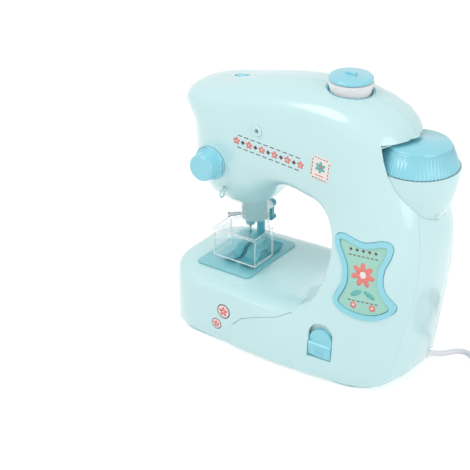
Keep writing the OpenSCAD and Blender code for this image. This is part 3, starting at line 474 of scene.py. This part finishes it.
def finish(name, group, colours, gloss, bump, extra=None, **shader_values):
    """A Principled material whose colour, roughness and fine relief come from a shared group."""
    material = bpy.data.materials.new(name)
    material.use_nodes = True
    tree = material.node_tree
    shader = tree.nodes["Principled BSDF"]
    surface = new_node(tree, "Group")
    surface.node_tree = group
    surface.inputs["Color"].default_value = paint(colours[0])
    surface.inputs["Shade"].default_value = paint(colours[1])
    surface.inputs["Gloss"].default_value = gloss[0]
    surface.inputs["Dull"].default_value = gloss[1]
    for label, value in (extra or {}).items():
        surface.inputs[label].default_value = value
    relief = new_node(tree, "Bump", Strength=bump[0], Distance=bump[1] * MM)
    tree.links.new(surface.outputs["Color"], shader.inputs["Base Color"])
    tree.links.new(surface.outputs["Roughness"], shader.inputs["Roughness"])
    tree.links.new(surface.outputs["Height"], relief.inputs["Height"])
    tree.links.new(relief.outputs["Normal"], shader.inputs["Normal"])
    for label, value in shader_values.items():
        shader.inputs[label.replace("_", " ")].default_value = value
    return material


print("mint in linear light:", [round(part, 3) for part in paint("CDEFF1")])

# %% Make a material for each finish
finishes = {
    "mint_plastic": finish(
        "mint_plastic", moulded_skin, ("CDEFF1", "CAEDEF"), (0.2, 0.25), (0.04, 0.02), Coat_Weight=0.5),
    "blue_plastic": finish(
        "blue_plastic", moulded_skin, ("94DDEC", "8ED9E9"), (0.2, 0.26), (0.04, 0.02), Coat_Weight=0.5),
    "teal_plastic": finish(
        "teal_plastic", moulded_skin, ("55B4C0", "4AA8B5"), (0.24, 0.38), (0.12, 0.02), Coat_Weight=0.2),
    "white_plastic": finish(
        "white_plastic", moulded_skin, ("F4F2F4", "EAE8EC"), (0.35, 0.5), (0.15, 0.02)),
    "dark_plastic": finish(
        "dark_plastic", moulded_skin, ("4A4C50", "3C3E42"), (0.4, 0.55), (0.15, 0.03)),
    "clear_plastic": finish(
        "clear_plastic", moulded_skin, ("F4FBFC", "EDF8FA"), (0.02, 0.04), (0.01, 0.01),
        Transmission_Weight=1.0, IOR=1.3, Alpha=0.2),
    "steel": finish(
        "steel", polished_plating, ("C9CDD1", "A9AEB4"), (0.2, 0.38), (0.08, 0.01), Metallic=1.0),
    "motor_can": finish(
        "motor_can", polished_plating, ("B4B8BC", "9CA1A6"), (0.3, 0.5), (0.1, 0.01), Metallic=1.0),
    "brass": finish(
        "brass", polished_plating, ("C8A55A", "AC8A45"), (0.3, 0.45), (0.1, 0.01), Metallic=1.0),
    "thread": finish(
        "thread", spun_fibre, ("FFFFFF", "F8F7FA"), (0.55, 0.8), (0.2, 0.03), Sheen_Weight=1.0),
    "cord": finish(
        "cord", moulded_skin, ("F8F8FB", "F1F1F6"), (0.38, 0.52), (0.15, 0.03)),
    # The needle plate's teal is lighter than its own colour: the lift is a painted reflection.
    "plate_teal_painted_reflection": finish(
        "plate_teal_painted_reflection", moulded_skin, ("8FD3DA", "86CDD5"), (0.24, 0.36), (0.1, 0.02), Coat_Weight=0.2),
    # A whitish, half-clear finish for the beads on the guard's edges: a painted highlight.
    "painted_edge_highlight": finish(
        "painted_edge_highlight", moulded_skin, ("FFFFFF", "F4FBFC"), (0.05, 0.1), (0.01, 0.01), Alpha=0.6),
}
print("finishes:", len(finishes))

# %% Give every imported node its finish
# The needle plate takes its teal lightened by a painted reflection.
OWN_FINISH = {"switch_body": "mint_plastic", "needle_plate": "plate_teal_painted_reflection"}
for name, node in nodes.items():
    node.data.materials.clear()
    node.data.materials.append(finishes[OWN_FINISH.get(name, slot_of[name])])
lead_curve.materials.append(finishes["cord"])
print("finished:", len(nodes), "nodes and the lead")

# %% [markdown]
# Smooth mouldings
#
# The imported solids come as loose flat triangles, which is right for measuring but makes a moulded case
# look cut from card. A copy of such a mesh is welded at its corners, and then Blender can shade across
# the triangles. Real edges have to stay crisp, so an edge that turns by more than a set angle is marked
# sharp. Thin edges also get a narrow bevel, because no moulded edge is a knife edge.
#
# The case is a lofted skin with holes cut in it, and round each hole long thin triangles would catch the
# light like scratches. There the shading direction of every face is averaged with that of its
# neighbours within a few millimetres, as light would see the smooth skin that the triangles stand for.
# A sliver has no direction worth trusting, so it first takes that of the largest face it touches.


# %% Make the tool that evens out a skin
SLIVER = 0.25 * MM
LEAST_TRUST = 0.1
FADE = 4


def even_skin(piece, crease, reach):
    """Shades each face like the average of the faces round it that turn by less than the crease."""
    mesh = piece.data
    centres = KDTree(len(mesh.polygons))
    for face in mesh.polygons:
        centres.insert(face.center, face.index)
    centres.balance()
    around = [[] for _ in mesh.vertices]
    for face in mesh.polygons:
        for vertex in face.vertices:
            around[vertex].append(face)
    facing = []
    for face in mesh.polygons:
        ends = [mesh.vertices[vertex].co for vertex in face.vertices]
        longest = max((a - b).length for a, b in zip(ends, ends[1:] + ends[:1]))
        guide = face
        if 2 * face.area < SLIVER * longest:
            touching = [other for vertex in face.vertices for other in around[vertex]]
            guide = max(
                touching, key=lambda other: other.area * max(other.normal.dot(face.normal), LEAST_TRUST))
        facing.append(guide.normal.copy())
    least = math.cos(math.radians(crease))
    skin = []
    for face in mesh.polygons:
        total = facing[face.index] * face.area
        for _, other, distance in centres.find_range(face.center, reach):
            if facing[other].dot(facing[face.index]) > least:
                weight = mesh.polygons[other].area * math.exp(-FADE * (distance / reach) ** 2)
                total += facing[other] * weight
        skin.append(total.normalized())
    corners = []
    for face in mesh.polygons:
        for vertex in face.vertices:
            near = [other.index for other in around[vertex]]
            same = [skin[other] for other in near if facing[other].dot(facing[face.index]) > least]
            corners.append(sum(same, Vector()).normalized())
    mesh.normals_split_custom_set(corners)


print("slivers are faces thinner than %.2f mm" % (SLIVER / MM))

# %% Make the tool that welds a node
WELD = 0.002 * MM
FLAT = math.radians(1)


def moulding(node, crease, round_edge=0.0, skin_reach=0.0):
    """A welded, smoothly shaded copy of a node, with its edges rounded by some millimetres."""
    bm = bmesh.new()
    bm.from_mesh(nodes[node].data)
    bmesh.ops.remove_doubles(bm, verts=bm.verts, dist=WELD)
    bmesh.ops.dissolve_degenerate(bm, edges=bm.edges, dist=WELD)
    if round_edge:
        bmesh.ops.dissolve_limit(bm, angle_limit=FLAT, verts=bm.verts, edges=bm.edges)
    piece = new_mesh_piece(node + "_moulding", bm)
    piece.data.materials.append(finishes[OWN_FINISH.get(node, slot_of[node])])
    piece.data.shade_smooth()
    piece.data.set_sharp_from_angle(angle=math.radians(crease))
    if round_edge:
        bevel = piece.modifiers.new("rounded_edge", "BEVEL")
        bevel.width = round_edge * MM
        bevel.segments = 2
        bevel.limit_method = "ANGLE"
        bevel.angle_limit = math.radians(crease)
        bevel.harden_normals = True
    if skin_reach:
        even_skin(piece, crease, skin_reach * MM)
    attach(piece, body_of(nodes[node])[0])
    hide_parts(node)
    return piece


print("corners closer than %.3f mm are welded" % (WELD / MM))

# %% Weld and shade the visible mouldings
CASE_CREASE = 38
SKIN_REACH = 9
for node in ("front_shell", "rear_shell", "bed_cover", "badge_frame", "badge_plate"):
    moulding(node, CASE_CREASE, skin_reach=SKIN_REACH)
moulding("wheel_cup", CASE_CREASE)
ROUND_CREASE = 30
for node in (
    "needle_housing", "presser_bar", "spool_core", "needle_bar", "thread_guide_upper",
    "thread_guide_lower", "cord_grommet", "bottom_plate", "needle", "spool_seat", "hand_wheel",
):
    moulding(node, ROUND_CREASE)
for node, edge in {
    "presser_foot": 0.4, "lifter_lever": 0.3, "needle_clamp": 0.3, "finger_guard": 0.2,
    "tension_dial": 0.6, "spool_cap": 0.5, "switch_slider": 0.4, "take_up": 0.3, "needle_plate": 0.2,
    "plug_body": 0.8, "plug_shell": 0.3, "spool_pin": 0.3,
}.items():
    moulding(node, ROUND_CREASE, edge)

# %% [markdown]
# The edges of the finger guard
#
# Clear plastic is seen by its edges: each rounded edge bends the light and shows as a bright line. The
# faces of the guard are almost invisible, so a thin whitish bead runs just inside each of its long outer
# edges, as a painted highlight that stands in for that bright line.

# %% Paint highlights along the edges of the finger guard
BEAD_RADIUS = 0.27 * MM
BEAD_LEAST = 6 * MM
BEAD_CREASE = math.radians(60)
guard = bmesh.new()
guard.from_mesh(nodes["finger_guard"].data)
bmesh.ops.remove_doubles(guard, verts=guard.verts, dist=WELD)
bmesh.ops.dissolve_limit(guard, angle_limit=FLAT, verts=guard.verts, edges=guard.edges)
bm = bmesh.new()
for edge in guard.edges:
    length = edge.calc_length()
    if length < BEAD_LEAST or not edge.is_convex or edge.calc_face_angle(0) < BEAD_CREASE:
        continue
    start, end = [vert.co for vert in edge.verts]
    inward = -sum((face.normal for face in edge.link_faces), Vector()) * BEAD_RADIUS
    along = (end - start).to_track_quat("Z", "Y").to_matrix().to_4x4()
    bmesh.ops.create_cone(
        bm, cap_ends=True, segments=8, radius1=BEAD_RADIUS, radius2=BEAD_RADIUS,
        depth=length - 2 * BEAD_RADIUS, matrix=Matrix.Translation((start + end) / 2 + inward) @ along)
guard.free()
# The beads are painted highlights: whitish lines in place of the light bent at the guard's edges.
guard_highlight_beads = new_mesh_piece("guard_highlight_beads", bm)
guard_highlight_beads.data.materials.append(finishes["painted_edge_highlight"])
guard_highlight_beads.data.shade_smooth()
guard_highlight_beads.data.set_sharp_from_angle(angle=BEAD_CREASE)
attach(guard_highlight_beads, body_of(nodes["finger_guard"])[0])
print("guard beads:", len(guard_highlight_beads.data.polygons), "faces")

# %% [markdown]
# The end of the lead
#
# The lead, its plug and its tie stay together wherever the toy is set down.

# %% [markdown]
# The thread on the spool
#
# Thread is wound on a spool by a machine that lays one turn beside the other while it travels up and
# down. One long helix on the barrel of the spool gives that: a curve with a thin round bevel. The
# radius at each height is read from the imported barrel, so that the turns lie on it and bulge with it.

# %% Read the barrel of the spool
THREAD_RADIUS = 0.2 * MM
TURN_PITCH = 0.42 * MM
POINTS_PER_TURN = 40
LEVEL_DIGITS = 5
low_corner, high_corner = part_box("thread_winding")
spool_axis = (low_corner + high_corner) / 2
rim_radius = {}
for corner in nodes["thread_barrel"].data.vertices:
    level = round(corner.co.z, LEVEL_DIGITS)
    radius = round((corner.co.xy - spool_axis.xy).length, LEVEL_DIGITS)
    rim_radius[level] = max(radius, rim_radius.get(level, 0))
rim_levels = sorted(rim_radius)


def barrel_radius(height):
    """The barrel's radius at a height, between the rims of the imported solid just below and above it."""
    below = max([level for level in rim_levels if level <= height], default=rim_levels[0])
    above = min([level for level in rim_levels if level > height], default=rim_levels[-1])
    share = (height - below) / (above - below) if above > below else 0
    return rim_radius[below] + (rim_radius[above] - rim_radius[below]) * min(max(share, 0), 1)


print("barrel:", len(rim_levels), "rims")

# %% Wind the thread
wound_from, wound_to = low_corner.z + THREAD_RADIUS, high_corner.z - THREAD_RADIUS
turns = round((wound_to - wound_from) / TURN_PITCH)
wound_line = []
for i in range(turns * POINTS_PER_TURN + 1):
    height = wound_from + (wound_to - wound_from) * i / (turns * POINTS_PER_TURN)
    angle = 2 * math.pi * i / POINTS_PER_TURN
    radius = barrel_radius(height) + THREAD_RADIUS
    across = Vector((math.cos(angle), math.sin(angle), 0)) * radius
    wound_line.append((spool_axis.x + across.x, spool_axis.y + across.y, height))
thread_curve = bpy.data.curves.new("wound_thread", "CURVE")
thread_curve.dimensions = "3D"
thread_curve.bevel_depth = 1
thread_curve.bevel_resolution = 1
thread_curve.use_fill_caps = True
spline = thread_curve.splines.new("POLY")
spline.points.add(len(wound_line) - 1)
for point, place in zip(spline.points, wound_line):
    point.co = (*place, 1)
    point.radius = THREAD_RADIUS
spline.use_smooth = True
thread_curve.materials.append(finishes["thread"])
wound_thread = bpy.data.objects.new("wound_thread", thread_curve)
scene.collection.objects.link(wound_thread)
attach(wound_thread, "spool")
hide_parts("thread_winding")
print("thread:", turns, "turns")

# %% [markdown]
# Printed decorations
#
# Toys like this carry small printed transfers: a row of stitches and motifs along the arm, a patch, a
# picture on the badge and two round stickers on the base. Each colour is a thin film. The flat shape is
# made from circles and bars, cut into short strips so that it can bend, and each of its corners is then
# dropped straight back onto the case. Where films overlap, each lies a tenth of a millimetre higher.

# %% Mix the inks
INKS = {
    "brown": ("6B4A48", "614240"),
    "coral": ("F58B84", "EE7F79"),
    "cream": ("F8F0EC", "F1E8E3"),
    "leaf": ("6FC3BB", "66B9B2"),
    "sage": ("A9DCCD", "A2D6C7"),
}
inks = {
    name: finish(name + "_ink", moulded_skin, tones, (0.4, 0.55), (0.1, 0.01))
    for name, tones in INKS.items()
}
print("inks:", len(inks))

# %% Make the tools that draw flat shapes
PETAL_PLACE = 0.58
PETAL_LENGTH = 0.8
PETAL_WIDTH = 1.748


def flat_place(middle, turn=0.0, size=(1, 1)):
    """The matrix that sets a flat unit shape at a place of the drawing, in millimetres and degrees."""
    return (
        Matrix.Translation(millimetres(*middle, 0))
        @ Matrix.Rotation(math.radians(turn), 4, "Z")
        @ Matrix.Diagonal((size[0] * MM, size[1] * MM, 1, 1))
    )


def oval(bm, middle, size, turn=0.0, sides=20):
    """A filled oval of that width and height."""
    bmesh.ops.create_circle(
        bm, cap_ends=True, segments=sides, radius=0.5, matrix=flat_place(middle, turn, size))


def bar(bm, middle, size, turn=0.0):
    """A filled rectangle of that width and height."""
    bmesh.ops.create_grid(bm, x_segments=1, y_segments=1, size=0.5, matrix=flat_place(middle, turn, size))


def blossom(bm, middle, reach, petals, turn=0.0):
    """A ring of separate petals round a point."""
    ring = PETAL_PLACE * reach
    size = (PETAL_LENGTH * reach, PETAL_WIDTH * ring * math.sin(math.pi / petals))
    for i in range(petals):
        angle = turn + 360 * i / petals
        spot = Vector(middle) + Vector((math.cos(math.radians(angle)), math.sin(math.radians(angle)))) * ring
        oval(bm, spot, size, angle)


print("a petal is %.2f of its blossom's reach" % PETAL_LENGTH)

# %% Make the tools that lay a print
FILM = 0.1 * MM
STRIP = 2 * MM
OFF_CENTRE = 0.37
IN_FRONT = -100 * MM
UPRIGHT = Matrix.Rotation(math.pi / 2, 4, "X")


def surface_of(*names):
    """A search tree over the faces of some welded mouldings."""
    bm = bmesh.new()
    for name in names:
        bm.from_mesh(bpy.data.objects[name + "_moulding"].data)
    tree = BVHTree.FromBMesh(bm)
    bm.free()
    return tree


def print_on(name, bm, ink, tree, origin, turn=0.0, layer=1):
    """Cuts a flat drawing into strips, stands it up, lays it on a surface and makes it a thin film."""
    reach = max(vert.co.length for vert in bm.verts)
    cuts = int(reach / STRIP)
    for axis in (Vector((1, 0, 0)), Vector((0, 1, 0))):
        for i in range(-cuts, cuts + 1):
            everything = bm.verts[:] + bm.edges[:] + bm.faces[:]
            bmesh.ops.bisect_plane(
                bm, geom=everything, plane_co=axis * (i + OFF_CENTRE) * STRIP, plane_no=axis)
    stand = Matrix.Translation(millimetres(origin[0], 0, origin[1])) @ UPRIGHT
    bmesh.ops.transform(bm, matrix=stand @ Matrix.Rotation(math.radians(turn), 4, "Z"), verts=bm.verts)
    for vert in bm.verts:
        start = Vector((vert.co.x, IN_FRONT, vert.co.z))
        hit, normal, _, _ = tree.ray_cast(start, Vector((0, 1, 0)))
        vert.co = hit + normal * FILM * layer
    piece = new_mesh_piece(name, bm)
    piece.data.materials.append(inks[ink])
    piece.data.shade_smooth()
    film = piece.modifiers.new("film", "SOLIDIFY")
    film.thickness = FILM
    film.offset = -1
    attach(piece, "housing")
    return piece


arm_face = surface_of("front_shell")
print("film: %.1f mm" % (FILM / MM))

# %% Print the row of stitches and motifs on the arm
ROW_START = Vector((-45, 146.5))
ROW_END = Vector((8, 142.5))
ROW_MIDDLE = (ROW_START + ROW_END) / 2
ROW_TURN = math.degrees(math.atan2(ROW_END.y - ROW_START.y, ROW_END.x - ROW_START.x))
ROW_LENGTH = (ROW_END - ROW_START).length
STITCH = (3.2, 0.55)
STITCH_PITCH = 4.9
STITCH_SIDES = (-4.2, 4.2)
MOTIF_PITCH = 9.8
MOTIF_REACH = 2.7
MOTIF_HEART = (1.5, 1.5)
DIAMOND = (2.2, 2.2)

bm = bmesh.new()
stitches = int(ROW_LENGTH / STITCH_PITCH)
for i in range(stitches):
    along = (i - (stitches - 1) / 2) * STITCH_PITCH
    for side in STITCH_SIDES:
        bar(bm, (along, side), STITCH)
print_on("arm_stitches", bm, "brown", arm_face, ROW_MIDDLE, ROW_TURN)
motifs = int(ROW_LENGTH / MOTIF_PITCH)
coral_bm, brown_bm, cream_bm = bmesh.new(), bmesh.new(), bmesh.new()
for i in range(motifs + 1):
    along = (i - motifs / 2) * MOTIF_PITCH
    blossom(coral_bm, (along, 0), MOTIF_REACH, 5, 90)
    oval(cream_bm, (along, 0), MOTIF_HEART)
    if i < motifs:
        bar(brown_bm, (along + MOTIF_PITCH / 2, 0), DIAMOND, 45)
print_on("arm_blossoms", coral_bm, "coral", arm_face, ROW_MIDDLE, ROW_TURN)
print_on("arm_blossom_hearts", cream_bm, "cream", arm_face, ROW_MIDDLE, ROW_TURN)
print_on("arm_diamonds", brown_bm, "brown", arm_face, ROW_MIDDLE, ROW_TURN)
print("arm row: %d stitches, %d blossoms" % (2 * stitches, motifs + 1))

# %% Print the patch beside it
PATCH_MIDDLE = (20.5, 144)
PATCH_TURN = -6
PATCH_SIZE = (14, 16)
PATCH_CORNER = 2.5
SEAM_INSET = 1.1
LEVEL_SEAM = {"stitch": (1.3, 0.45), "pitch": 2.1}
UPRIGHT_SEAM = {"stitch": (0.45, 1.4), "pitch": 2.4}
PATCH_FLOWER = (0, 1)
PATCH_REACH = 3.9
PATCH_HEART = (1.9, 1.9)
PATCH_BAR = {"middle": (0, -4.6), "size": (6, 0.6)}

bm = bmesh.new()
bar(bm, (0, 0), PATCH_SIZE)
bmesh.ops.bevel(
    bm, geom=bm.verts[:], offset=PATCH_CORNER * MM, affect="VERTICES", segments=4, profile=0.5, material=-1)
print_on("patch_ground", bm, "cream", arm_face, PATCH_MIDDLE, PATCH_TURN)
bm = bmesh.new()
for side in (-1, 1):
    for i in range(-2, 3):
        edge_z = side * (PATCH_SIZE[1] / 2 - SEAM_INSET)
        bar(bm, (i * LEVEL_SEAM["pitch"], edge_z), LEVEL_SEAM["stitch"])
    for i in range(-2, 3):
        edge_x = side * (PATCH_SIZE[0] / 2 - SEAM_INSET)
        bar(bm, (edge_x, i * UPRIGHT_SEAM["pitch"]), UPRIGHT_SEAM["stitch"])
print_on("patch_stitches", bm, "brown", arm_face, PATCH_MIDDLE, PATCH_TURN, 2)
bm = bmesh.new()
blossom(bm, PATCH_FLOWER, PATCH_REACH, 6, 30)
print_on("patch_blossom", bm, "leaf", arm_face, PATCH_MIDDLE, PATCH_TURN, 2)
bm = bmesh.new()
oval(bm, PATCH_FLOWER, PATCH_HEART)
bar(bm, PATCH_BAR["middle"], PATCH_BAR["size"])
print_on("patch_heart", bm, "coral", arm_face, PATCH_MIDDLE, PATCH_TURN, 2)
print("patch: %d by %d mm" % PATCH_SIZE)

# %% [markdown]
# The badge and the stickers
#
# The badge is a waisted plate in a raised frame. A green ground covers the plate, and one big blossom,
# two leaves, two buttons and stitched bands in the inks of the arm lie on it. The base has two round
# stickers, one a little smaller and lower than the other.

# %% Lay the ground of the badge
FACES_FRONT = -0.6
bm = bmesh.new()
bm.from_mesh(bpy.data.objects["badge_plate_moulding"].data)
hidden = [face for face in bm.faces if face.normal.y > FACES_FRONT]
bmesh.ops.delete(bm, geom=hidden, context="FACES")
for vert in bm.verts:
    vert.co += vert.normal * FILM / 2
ground = new_mesh_piece("badge_ground", bm)
ground.data.materials.append(inks["sage"])
ground.data.shade_smooth()
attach(ground, "housing")
print("badge ground:", len(ground.data.polygons), "faces")

# %% Print the badge
BADGE_MIDDLE = (57.5, 81.5)
BADGE_TURN = 5
BAND_HEIGHTS = (-15.5, 14.5)
BAND_STITCH = (2, 0.6)
BAND_PITCH = 3.1
TOP_HEIGHT = 18.2
TOP_DIAMOND = (1.7, 1.7)
TOP_PITCH = 4.4
FLOWER = {"middle": (0, 2.5), "reach": 8.4, "heart": (4.6, 4.6)}
BUTTON_PLACES = ((-6.5, -18.6), (6.5, -18.6))
BUTTON = (4.4, 4.4)
BUTTON_HOLE = (1.8, 1.8)
LEAF = (8.6, 3.4)
LEAF_PLACES = {28: (-4.6, -10.2), -28: (4.6, -10.2)}

badge_face = surface_of("badge_plate")
bm = bmesh.new()
for height in BAND_HEIGHTS:
    for i in range(-3, 4):
        bar(bm, (i * BAND_PITCH, height), BAND_STITCH)
for i in range(-2, 3):
    bar(bm, (i * TOP_PITCH, TOP_HEIGHT), TOP_DIAMOND, 45)
print_on("badge_stitches", bm, "brown", badge_face, BADGE_MIDDLE, BADGE_TURN)
bm = bmesh.new()
blossom(bm, FLOWER["middle"], FLOWER["reach"], 7, 90)
for middle in BUTTON_PLACES:
    oval(bm, middle, BUTTON)
print_on("badge_blossom", bm, "coral", badge_face, BADGE_MIDDLE, BADGE_TURN)
bm = bmesh.new()
oval(bm, FLOWER["middle"], FLOWER["heart"], sides=28)
for middle in BUTTON_PLACES:
    oval(bm, middle, BUTTON_HOLE)
print_on("badge_blossom_heart", bm, "cream", badge_face, BADGE_MIDDLE, BADGE_TURN, 2)
bm = bmesh.new()
for turn, middle in LEAF_PLACES.items():
    oval(bm, middle, LEAF, turn)
print_on("badge_leaves", bm, "leaf", badge_face, BADGE_MIDDLE, BADGE_TURN)
print("badge: 4 inks on the ground")

# %% Print the stickers on the base
STICKERS = {"upper_sticker": ((-43, 27), 10.5), "lower_sticker": ((-49, 15.5), 8.0)}
STICKER_DISCS = (("edge", "brown", 1.0, 1), ("ground", "cream", 0.86, 2))
STICKER_BLOSSOM = 0.34

base_face = surface_of("bed_cover")
for name, (middle, width) in STICKERS.items():
    for part, ink, scale, layer in STICKER_DISCS:
        bm = bmesh.new()
        oval(bm, (0, 0), (width * scale, width * scale), sides=36)
        print_on(name + "_" + part, bm, ink, base_face, middle, 0, layer)
    bm = bmesh.new()
    blossom(bm, (0, 0), STICKER_BLOSSOM * width, 5, 90)
    print_on(name + "_blossom", bm, "coral", base_face, middle, 0, 3)
print("stickers:", len(STICKERS))

# %% [markdown]
# The recess round the hand wheel
#
# The hand wheel turns in a round recess of the case, and a thin wall and roof hide the works behind it.
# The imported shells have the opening, and the wall is a skin that is laid here. Rays go out from the
# wheel's axis all round: where one meets the case, the skin stands there or at the radius of the recess,
# whichever is nearer, and where one runs out into the open there is no skin.

# %% Measure the wheel recess
RECESS_GAP = 1.4 * MM
RECESS_ROOF = 2.5 * MM
wheel_low, wheel_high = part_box("hand_wheel")
wheel_middle = (wheel_low + wheel_high) / 2
recess_radius = (wheel_high.x - wheel_low.x) / 2 + RECESS_GAP
recess_floor = wheel_low.z
recess_top = wheel_high.z + RECESS_ROOF
case_walls = surface_of("front_shell", "rear_shell")


def recess_spot(bm, turn, height, look):
    """A corner of the skin in one direction from the axis, or nothing where the recess is open."""
    out = Vector((math.cos(turn), math.sin(turn), 0))
    start = Vector((wheel_middle.x, wheel_middle.y, height + look))
    distance = case_walls.ray_cast(start, out)[3]
    if distance is None:
        return None
    return bm.verts.new(start + out * min(distance, recess_radius) - Vector((0, 0, look)))


print("wheel recess: %.1f mm in radius" % (recess_radius / MM))

# %% Line the wheel recess
RECESS_STEPS = 120
RECESS_LEVELS = 8
RECESS_WALL = 0.8 * MM
ROOF_LOOK = 0.4 * MM

bm = bmesh.new()
turns_round = [2 * math.pi * step / RECESS_STEPS for step in range(RECESS_STEPS)]
rows = []
for level in range(RECESS_LEVELS + 1):
    height = recess_floor + (recess_top - recess_floor) * level / RECESS_LEVELS
    look = ROOF_LOOK if level == RECESS_LEVELS else 0
    rows.append([recess_spot(bm, turn, height, look) for turn in turns_round])
for lower, upper in zip(rows, rows[1:]):
    for i in range(RECESS_STEPS):
        corners = (lower[i], lower[i - 1], upper[i - 1], upper[i])
        if all(corners):
            bm.faces.new(corners)
roof_middle = bm.verts.new((wheel_middle.x, wheel_middle.y, recess_top))
for i in range(RECESS_STEPS):
    if rows[-1][i] and rows[-1][i - 1]:
        bm.faces.new((rows[-1][i], rows[-1][i - 1], roof_middle))
bmesh.ops.delete(bm, geom=[vert for vert in bm.verts if not vert.link_faces], context="VERTS")
wheel_recess = new_mesh_piece("wheel_recess", bm)
wheel_recess.data.materials.append(finishes["mint_plastic"])
wheel_recess.data.shade_smooth()
wheel_recess.data.set_sharp_from_angle(angle=math.radians(CASE_CREASE))
wall = wheel_recess.modifiers.new("wall", "SOLIDIFY")
wall.thickness = RECESS_WALL
wall.offset = -1
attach(wheel_recess, "housing")
print("recess skin:", len(wheel_recess.data.polygons), "faces")

# %% [markdown]
# The ledge behind the switch
#
# The slider of the switch runs in an opening of the case. Behind it a moulded ledge closes the gap
# between the edge of the opening and the switch body, so that the works stay hidden at both ends of the
# slider's travel. It is made of flat panels, beside and above the body.

# %% Close the gap round the switch body
LEDGE_WALL = 0.8 * MM
LEDGE_BEHIND = 0.3 * MM
LEDGE_MARGIN = 5 * MM
body_low, body_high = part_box("switch_body")
slider_low, slider_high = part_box("switch_slider")
ledge_left, ledge_right = slider_low.x - LEDGE_MARGIN, slider_high.x + LEDGE_MARGIN
ledge_foot, ledge_head = slider_low.z - LEDGE_MARGIN / 2, body_high.z + 2 * LEDGE_MARGIN
ledge_panels = (
    (ledge_left, body_low.x, ledge_foot, body_high.z),
    (body_high.x, ledge_right, ledge_foot, body_high.z),
    (ledge_left, body_low.x, body_high.z, ledge_head),
    (body_low.x, body_high.x, body_high.z, ledge_head),
    (body_high.x, ledge_right, body_high.z, ledge_head),
)
bm = bmesh.new()
for x0, x1, z0, z1 in ledge_panels:
    corners = ((x0, z0), (x1, z0), (x1, z1), (x0, z1))
    bm.faces.new([bm.verts.new((x, body_low.y + LEDGE_BEHIND, z)) for x, z in corners])
bmesh.ops.remove_doubles(bm, verts=bm.verts, dist=WELD)
switch_ledge = new_mesh_piece("switch_ledge", bm)
switch_ledge.data.materials.append(finishes["mint_plastic"])
wall = switch_ledge.modifiers.new("wall", "SOLIDIFY")
wall.thickness = LEDGE_WALL
wall.offset = -1
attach(switch_ledge, "housing")
print("switch ledge:", len(ledge_panels), "panels")

# %% [markdown]
# Size
#
# Dressing must not change the size of the toy, so the top corner of the dressed model's box is measured
# against that of the imported solids, and the growth is printed.

# %% Print how much the box grows
new_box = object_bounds()
growth = [round((b - a) / MM, 2) for a, b in zip(cad_box[1], new_box[1])]
print("box grows by", growth, "mm at the top corner")
